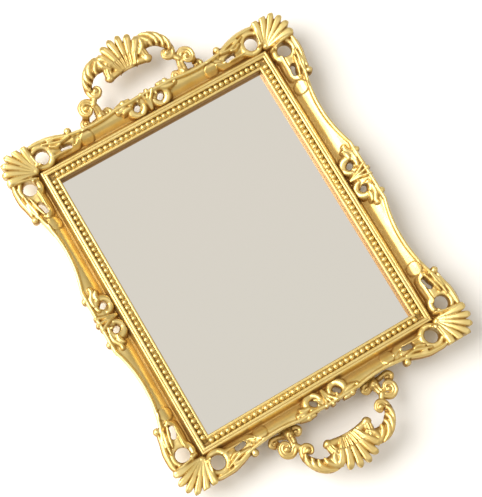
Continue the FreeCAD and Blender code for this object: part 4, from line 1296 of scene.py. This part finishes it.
    def build(self) -> None:
        """Set down both handles."""
        whole = joined([self.carve()] + self.tabs())
        for end, sign in (("top", 1), ("bottom", -1)):
            piece = whole.set_down(f"scroll_handle_{end}", lambda p, s=sign: p * (1, s, 1), sign < 0,
                                   Finish.CASTING)
            settle(piece, "gilt_casting", f"handle_{end}")


# ------------------------------------------------------------------------------------------ rails
@dataclass
class MouldedRails:
    """The four mitred rails: lip, bead channel, lined band, gutter, slope and rolled rim."""

    crisp: float = 0.9996
    station: float = 3.0
    first: float = 28.6
    side_last: float = 84.4
    end_last: float = 54.0
    rim_level: float = 30.5
    # Under the rolled rim: inset from the edge, height and painted shade of each corner.
    rim_foot: tuple[tuple[float, float, float], ...] = (
        (0.25, 29.4, 0.5), (0.1, 28.6, 0.1), (0.35, 27.6, 0.1), (0.7, 27.2, 0.6), (0.5, 26.4, 0.1),
        (0.8, 24.4, 0.2),
    )

    def section(self) -> list[tuple[float, float, float]]:
        """The moulding's section: reach, height and painted shade, from the rebate round to the gutter."""
        # Painted shade is 1 on the wall under the lip, about 0.5 to 0.75 in the bead channel and the gutter,
        # and 0 on the tops.
        s = SIZES
        return [
            (s.rebate, s.back, 0.2), (s.rebate, s.glass_top + 0.05, 0.6), (0.15, s.glass_top + 0.05, 1.0),
            (0.0, s.glass_top + 0.6, 1.0), (0.0, 20.5, 1.0), (0.0, 22.6, 0.9), (0.25, 23.25, 0.2),
            (0.8, s.lip, 0.0), (1.9, s.lip, 0.0), (2.35, 23.3, 0.0), (2.55, 22.8, 0.2),
            (2.7, s.channel_floor, 0.5), (7.3, s.channel_floor, 0.7), (7.45, 22.6, 0.6), (7.5, 25.1, 0.1),
            (7.75, 25.65, 0.0), (8.3, s.band, 0.0), (9.35, s.band, 0.0), (9.65, 25.75, 0.2),
            (10.0, 25.4, 0.7), (10.35, 25.75, 0.2), (10.65, s.band, 0.0),
            (11.5, 25.85, 0.0), (12.0, 25.4, 0.1), (12.5, 24.2, 0.3), (13.3, 22.4, 0.55), (14.2, 20.7, 0.75),
            (14.9, 20.15, 0.75), (15.7, 20.1, 0.6), (16.0, 20.3, 0.5), (16.0, s.back, 0.2),
        ]

    def moulding(self, half: float) -> Carving:
        """The moulding with its mitred ends.

        Args:
            half: half the sight length.

        Returns:
            The skin, with X along the rail and Y outwards.
        """
        stations = np.concatenate([[-1.0], np.linspace(-self.crisp, self.crisp, 9), [1.0]])
        ring = self.section()
        return lofted([[(place * (half + reach), reach, height, depth) for reach, height, depth in ring]
                       for place in stations])

    def skirt_ring(self, along: float, side: bool) -> list[tuple[float, float, float, float]]:
        """The outer slope's section at one station: down the slope, over the rim and back underneath.

        Args:
            along: distance from the middle of the rail.
            side: True for a side rail.

        Returns:
            X, reach, height and painted shade round the section.
        """
        edge = float(SIZES.outline(np.array(along), side))
        half = SIZES.rim_width / 2
        rim_start = edge - SIZES.rim_width
        # Each corner is reach, height and painted shade; the inner wall is in full painted shade.
        ring = [(15.6, SIZES.back, 0.2), (15.6, 19.9, 1.0)]
        for share in np.linspace(0, 1, 13):
            reach = 16.0 + (edge - SIZES.rim_width - 0.5 - 16.0) * share
            ring.append((reach, float(SIZES.slope(reach)), float(SIZES.slope_shade(reach))))
        ring.append((rim_start - 0.15, float(SIZES.slope(edge)) - 0.05, 0.35))
        for turn in np.linspace(170, -10, 9):
            bend = math.radians(turn)
            ring.append((edge - half + half * math.cos(bend), self.rim_level + half * math.sin(bend), 0.0))
        ring += [(edge - inset, height, depth) for inset, height, depth in self.rim_foot]
        for share in np.linspace(0, 1, 10):
            reach = edge - 1.4 + (17.4 - edge) * share
            ring.append((reach, float(SIZES.underside(reach)), 0.3))
        return [(along, reach, height, depth) for reach, height, depth in ring]

    def skirt(self, start: float, end: float, side: bool) -> Carving:
        """One stretch of the outer slope with its rim, between two ornaments.

        Args:
            start: where it begins, along the rail.
            end: where it ends.
            side: True for a side rail.

        Returns:
            The skin.
        """
        steps = max(int(abs(end - start) / self.station), 4)
        inner = start + (end - start) * 0.5 * (1 + np.linspace(-self.crisp, self.crisp, steps - 1))
        return lofted([self.skirt_ring(along, side) for along in np.concatenate([[start], inner, [end]])])

    def build(self) -> None:
        """Make the four rails."""
        for rail in RAILS:
            if rail.side:
                half, last = SIZES.sight_y, self.side_last
            else:
                half, last = SIZES.sight_x, self.end_last
            whole = joined([self.moulding(half), self.skirt(self.first, last, rail.side),
                            self.skirt(-last, -self.first, rail.side)])
            piece = whole.set_down(f"moulded_rail_{rail.spot}", rail.move, not rail.flipped, Finish.MOULDING)
            settle(piece, "gilt_wood", f"rail_{rail.spot}")


# ------------------------------------------------------------------------------------------ pearls
class NodeTree:
    """A Geometry Nodes tree under construction."""

    def __init__(self, name: str, inputs: Sequence[tuple[str, str]]) -> None:
        """Start a tree with named inputs, each a name and a socket type."""
        self.tree = bpy.data.node_groups.new(name, "GeometryNodeTree")
        self.tree.interface.new_socket("Geometry", in_out="INPUT", socket_type="NodeSocketGeometry")
        self.tree.interface.new_socket("Geometry", in_out="OUTPUT", socket_type="NodeSocketGeometry")
        self.names: dict[str, str] = {}
        for label, kind in inputs:
            socket = self.tree.interface.new_socket(label, in_out="INPUT", socket_type=kind)
            self.names[label] = socket.identifier
        self.start = self.tree.nodes.new("NodeGroupInput")
        self.end = self.tree.nodes.new("NodeGroupOutput")

    def given(self, label: str) -> bpy.types.NodeSocket:
        """One of the tree's inputs."""
        return self.start.outputs[label]

    def node(self, kind: str, settings: dict | None = None,
             inputs: dict | None = None) -> bpy.types.NodeSocket:
        """Add a node and hand back its first output."""
        return add_node(self.tree, kind, settings, inputs).outputs[0]

    def close(self, geometry: bpy.types.NodeSocket, material: bpy.types.Material) -> None:
        """End the tree with real geometry in one material."""
        real = self.node("GeometryNodeRealizeInstances", None, {0: geometry})
        soft = self.node("GeometryNodeSetShadeSmooth", None, {0: real})
        dressed = self.node("GeometryNodeSetMaterial", None, {0: soft, "Material": material})
        self.tree.links.new(dressed, self.end.inputs[0])

    def grow(self, name: str, values: dict) -> bpy.types.Object:
        """Run the tree and keep its result as a plain mesh.

        Args:
            name: the new object's name.
            values: the tree's inputs by name.

        Returns:
            The object, with no modifier left.
        """
        made = placed(name, bpy.data.meshes.new(name + "_seed"))
        modifier = made.modifiers.new("grow", "NODES")
        modifier.node_group = self.tree
        for label, value in values.items():
            modifier[self.names[label]] = value
        ready = made.evaluated_get(bpy.context.evaluated_depsgraph_get())
        made.data = bpy.data.meshes.new_from_object(ready)
        made.data.name = name
        made.modifiers.remove(modifier)
        return made


@dataclass
class PearlBeading:
    """Rows of pearls on a thin carrier in the bead channel."""

    radius: float = 2.4
    height: float = 23.5
    side_count: int = 49
    end_count: int = 39
    side_last: float = 122.784
    end_last: float = 97.375
    row_x: float = 102.5
    row_y: float = 127.9
    carrier_width: float = 4.8
    carrier_thickness: float = 1.2
    side_past: float = 9.8
    end_past: float = 5.1
    clearance: float = 0.02
    shade_below: float = 23.6
    shade_fade: float = 1.8

    def tree(self) -> NodeTree:
        """The tree: a line of points, a pearl on each, and the carrier under them."""
        tree = NodeTree("pearl_row", [
            ("Count", "NodeSocketInt"), ("First", "NodeSocketVector"), ("Step", "NodeSocketVector"),
            ("Radius", "NodeSocketFloat"), ("Carrier size", "NodeSocketVector"),
            ("Carrier centre", "NodeSocketVector"),
        ])
        line = tree.node("GeometryNodeMeshLine", {"mode": "OFFSET"}, {
            "Count": tree.given("Count"), "Start Location": tree.given("First"),
            "Offset": tree.given("Step")})
        pearl = tree.node("GeometryNodeMeshUVSphere", None, {
            "Segments": 12, "Rings": 7, "Radius": tree.given("Radius")})
        pearls = tree.node("GeometryNodeInstanceOnPoints", None, {"Points": line, "Instance": pearl})
        bar = tree.node("GeometryNodeMeshCube", None, {"Size": tree.given("Carrier size")})
        moved = tree.node("GeometryNodeTransform", None, {
            "Geometry": bar, "Translation": tree.given("Carrier centre")})
        both = tree.tree.nodes.new("GeometryNodeJoinGeometry")
        tree.tree.links.new(pearls, both.inputs[0])
        tree.tree.links.new(moved, both.inputs[0])
        tree.close(both.outputs[0], PAINT(Finish.PEARL))
        return tree

    def shade(self, piece: bpy.types.Object) -> None:
        """Paint shade on each corner: dark low on a pearl, none on its crown."""
        mesh = piece.data
        heights = np.empty(len(mesh.vertices) * 3)
        mesh.vertices.foreach_get("co", heights)
        z = heights.reshape(-1, 3)[:, 2] / MM
        write_painted_shade(mesh, (self.shade_below - z) / self.shade_fade)

    def build(self) -> None:
        """Grow the four rows."""
        tree = self.tree()
        rows = (("right", True, 1), ("left", True, -1), ("top", False, 1), ("bottom", False, -1))
        for spot, side, sign in rows:
            last, count = (self.side_last, self.side_count) if side else (self.end_last, self.end_count)
            line = (self.row_x if side else self.row_y) * sign
            step = 2 * last / (count - 1)
            first = (line, -last, self.height) if side else (-last, line, self.height)
            move = (0.0, step, 0.0) if side else (step, 0.0, 0.0)
            long = 2 * last + (self.side_past if side else self.end_past)
            size = (self.carrier_width, long) if side else (long, self.carrier_width)
            middle = (line, 0.0) if side else (0.0, line)
            floor = SIZES.channel_floor + self.clearance
            piece = tree.grow(f"pearl_row_{spot}", {
                "Count": count,
                "First": tuple(MM * value for value in first),
                "Step": tuple(MM * value for value in move),
                "Radius": self.radius * MM,
                "Carrier size": (size[0] * MM, size[1] * MM, self.carrier_thickness * MM),
                "Carrier centre": (middle[0] * MM, middle[1] * MM, (floor + self.carrier_thickness / 2) * MM),
            })
            self.shade(piece)
            settle(piece, "gilt_beading", f"bead_strip_{spot}")


# ------------------------------------------------------------------------------------------ fittings
@dataclass
class BackFittings:
    """Glass, board, lining, buttons, screws, splines and pads: frame pieces in their own finishes."""

    finishes: dict[str, Finish] = field(default_factory=lambda: {
        "mirror_glass": Finish.GLASS,
        "backing_board": Finish.BOARD,
        "felt_lining": Finish.FELT,
        "foot_pads": Finish.FELT,
        "handle_screws": Finish.STEEL,
        "turn_button_screws": Finish.STEEL,
        "mitre_splines": Finish.STEEL,
        "turn_button_right_far": Finish.BRASS,
        "turn_button_right_near": Finish.BRASS,
        "turn_button_left_far": Finish.BRASS,
        "turn_button_left_near": Finish.BRASS,
    })

    def dress(self) -> None:
        """Give each piece its finish."""
        for node, finish in self.finishes.items():
            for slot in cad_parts[node].material_slots:
                slot.material = PAINT(finish)
            LOG.info("%s: %s", node, finish.name)


# ------------------------------------------------------------------------------------------ studio
@dataclass(frozen=True)
class Lamp:
    """A soft round light: where it hangs and its size in metres, its power in watts, its colour."""

    name: str
    at: tuple[float, float, float]
    size: float
    power: float
    colour: tuple[float, float, float]


@dataclass
class Studio:
    """A pale floor, soft lights and the camera above and in front of the tray."""

    camera_at: tuple[float, float, float] = (-152.5, -179.9, 1104.9)
    camera_up: tuple[float, float, float] = (0.4894, 0.8468, 0.2084)
    camera_to: tuple[float, float, float] = (4.0, -3.3, 20.0)
    focal: float = 1330.0
    frame_height: float = 497.0
    sensor: float = 36.0
    floor_half: float = 3.0
    zenith: Colour = (0.75, 0.71, 0.645, 1.0)
    horizon: Colour = (0.38, 0.33, 0.25, 1.0)
    lamps: tuple[Lamp, ...] = (
        Lamp("key", (-0.85, 0.6, 1.25), 1.4, 30.0, (1.0, 0.985, 0.95)),
        Lamp("side", (-1.7, 0.1, 0.55), 1.3, 14.0, (1.0, 0.98, 0.94)),
        Lamp("fill", (0.9, -0.9, 1.6), 1.2, 2.5, (1.0, 0.97, 0.92)),
    )

    def camera(self) -> None:
        """Set the camera."""
        data = bpy.data.cameras.new("camera")
        data.sensor_width = self.sensor
        data.lens = self.focal * data.sensor_width / self.frame_height
        data.clip_end = 20.0
        made = placed("camera", data)
        at = Vector(self.camera_at) * MM
        back = (at - Vector(self.camera_to) * MM).normalized()
        right = Vector(self.camera_up).cross(back).normalized()
        up = back.cross(right)
        turn = Matrix((right, up, back)).transposed().to_4x4()
        made.matrix_world = Matrix.Translation(at) @ turn
        bpy.context.scene.camera = made

    def floor(self) -> None:
        """Lay the pale floor."""
        half = self.floor_half
        mesh = bpy.data.meshes.new("floor")
        corners = [(-half, -half, 0), (half, -half, 0), (half, half, 0), (-half, half, 0)]
        mesh.from_pydata(corners, [], [(0, 1, 2, 3)])
        shader = Shader("pale_floor")
        mottle = shader.noise(3.0, 2.0)
        mesh.materials.append(shader.finish({
            "Base Color": shader.mixed(mottle, (0.92, 0.92, 0.915, 1.0), (0.94, 0.94, 0.94, 1.0)),
            "Roughness": 0.9}))
        placed("floor", mesh)

    @staticmethod
    def hang(lamp: Lamp) -> None:
        """Hang one soft light that looks at the tray."""
        data = bpy.data.lights.new(lamp.name, "AREA")
        data.shape = "DISK"
        data.size = lamp.size
        data.energy = lamp.power
        data.color = lamp.colour
        where = Vector(lamp.at)
        placed(lamp.name, data).matrix_world = (
            Matrix.Translation(where) @ where.to_track_quat("Z", "Y").to_matrix().to_4x4())

    def sky(self) -> None:
        """Light the room: warm above, darker towards the horizon."""
        world = bpy.data.worlds.new("room")
        world.use_nodes = True
        tree = world.node_tree
        tree.nodes.clear()
        place = add_node(tree, "ShaderNodeTexCoord")
        split = add_node(tree, "ShaderNodeSeparateXYZ", None, {0: place.outputs["Generated"]})
        ramp = add_node(tree, "ShaderNodeValToRGB", None, {0: split.outputs["Z"]})
        stops = ((0.3, self.horizon), (0.85, self.zenith))
        for element, (position, colour) in zip(ramp.color_ramp.elements, stops):
            element.position = position
            element.color = colour
        background = add_node(tree, "ShaderNodeBackground", None, {"Color": ramp.outputs[0]})
        add_node(tree, "ShaderNodeOutputWorld", None, {"Surface": background.outputs[0]})
        bpy.context.scene.world = world

    def build(self) -> None:
        """Set up the studio."""
        self.camera()
        self.floor()
        self.sky()
        for lamp in self.lamps:
            self.hang(lamp)
        bpy.context.scene.view_settings.view_transform = "Standard"
        LOG.info("studio: floor, %d lights, camera", len(self.lamps))


def main() -> None:
    """Build every piece, in order."""
    logging.basicConfig(level=logging.INFO, format="%(message)s")
    MouldedRails().build()
    PearlBeading().build()
    CornerShell().build()
    CentreCarvings().build()
    ScrollHandle().build()
    BackFittings().dress()
    Studio().build()


if __name__ == "__main__":
    main()
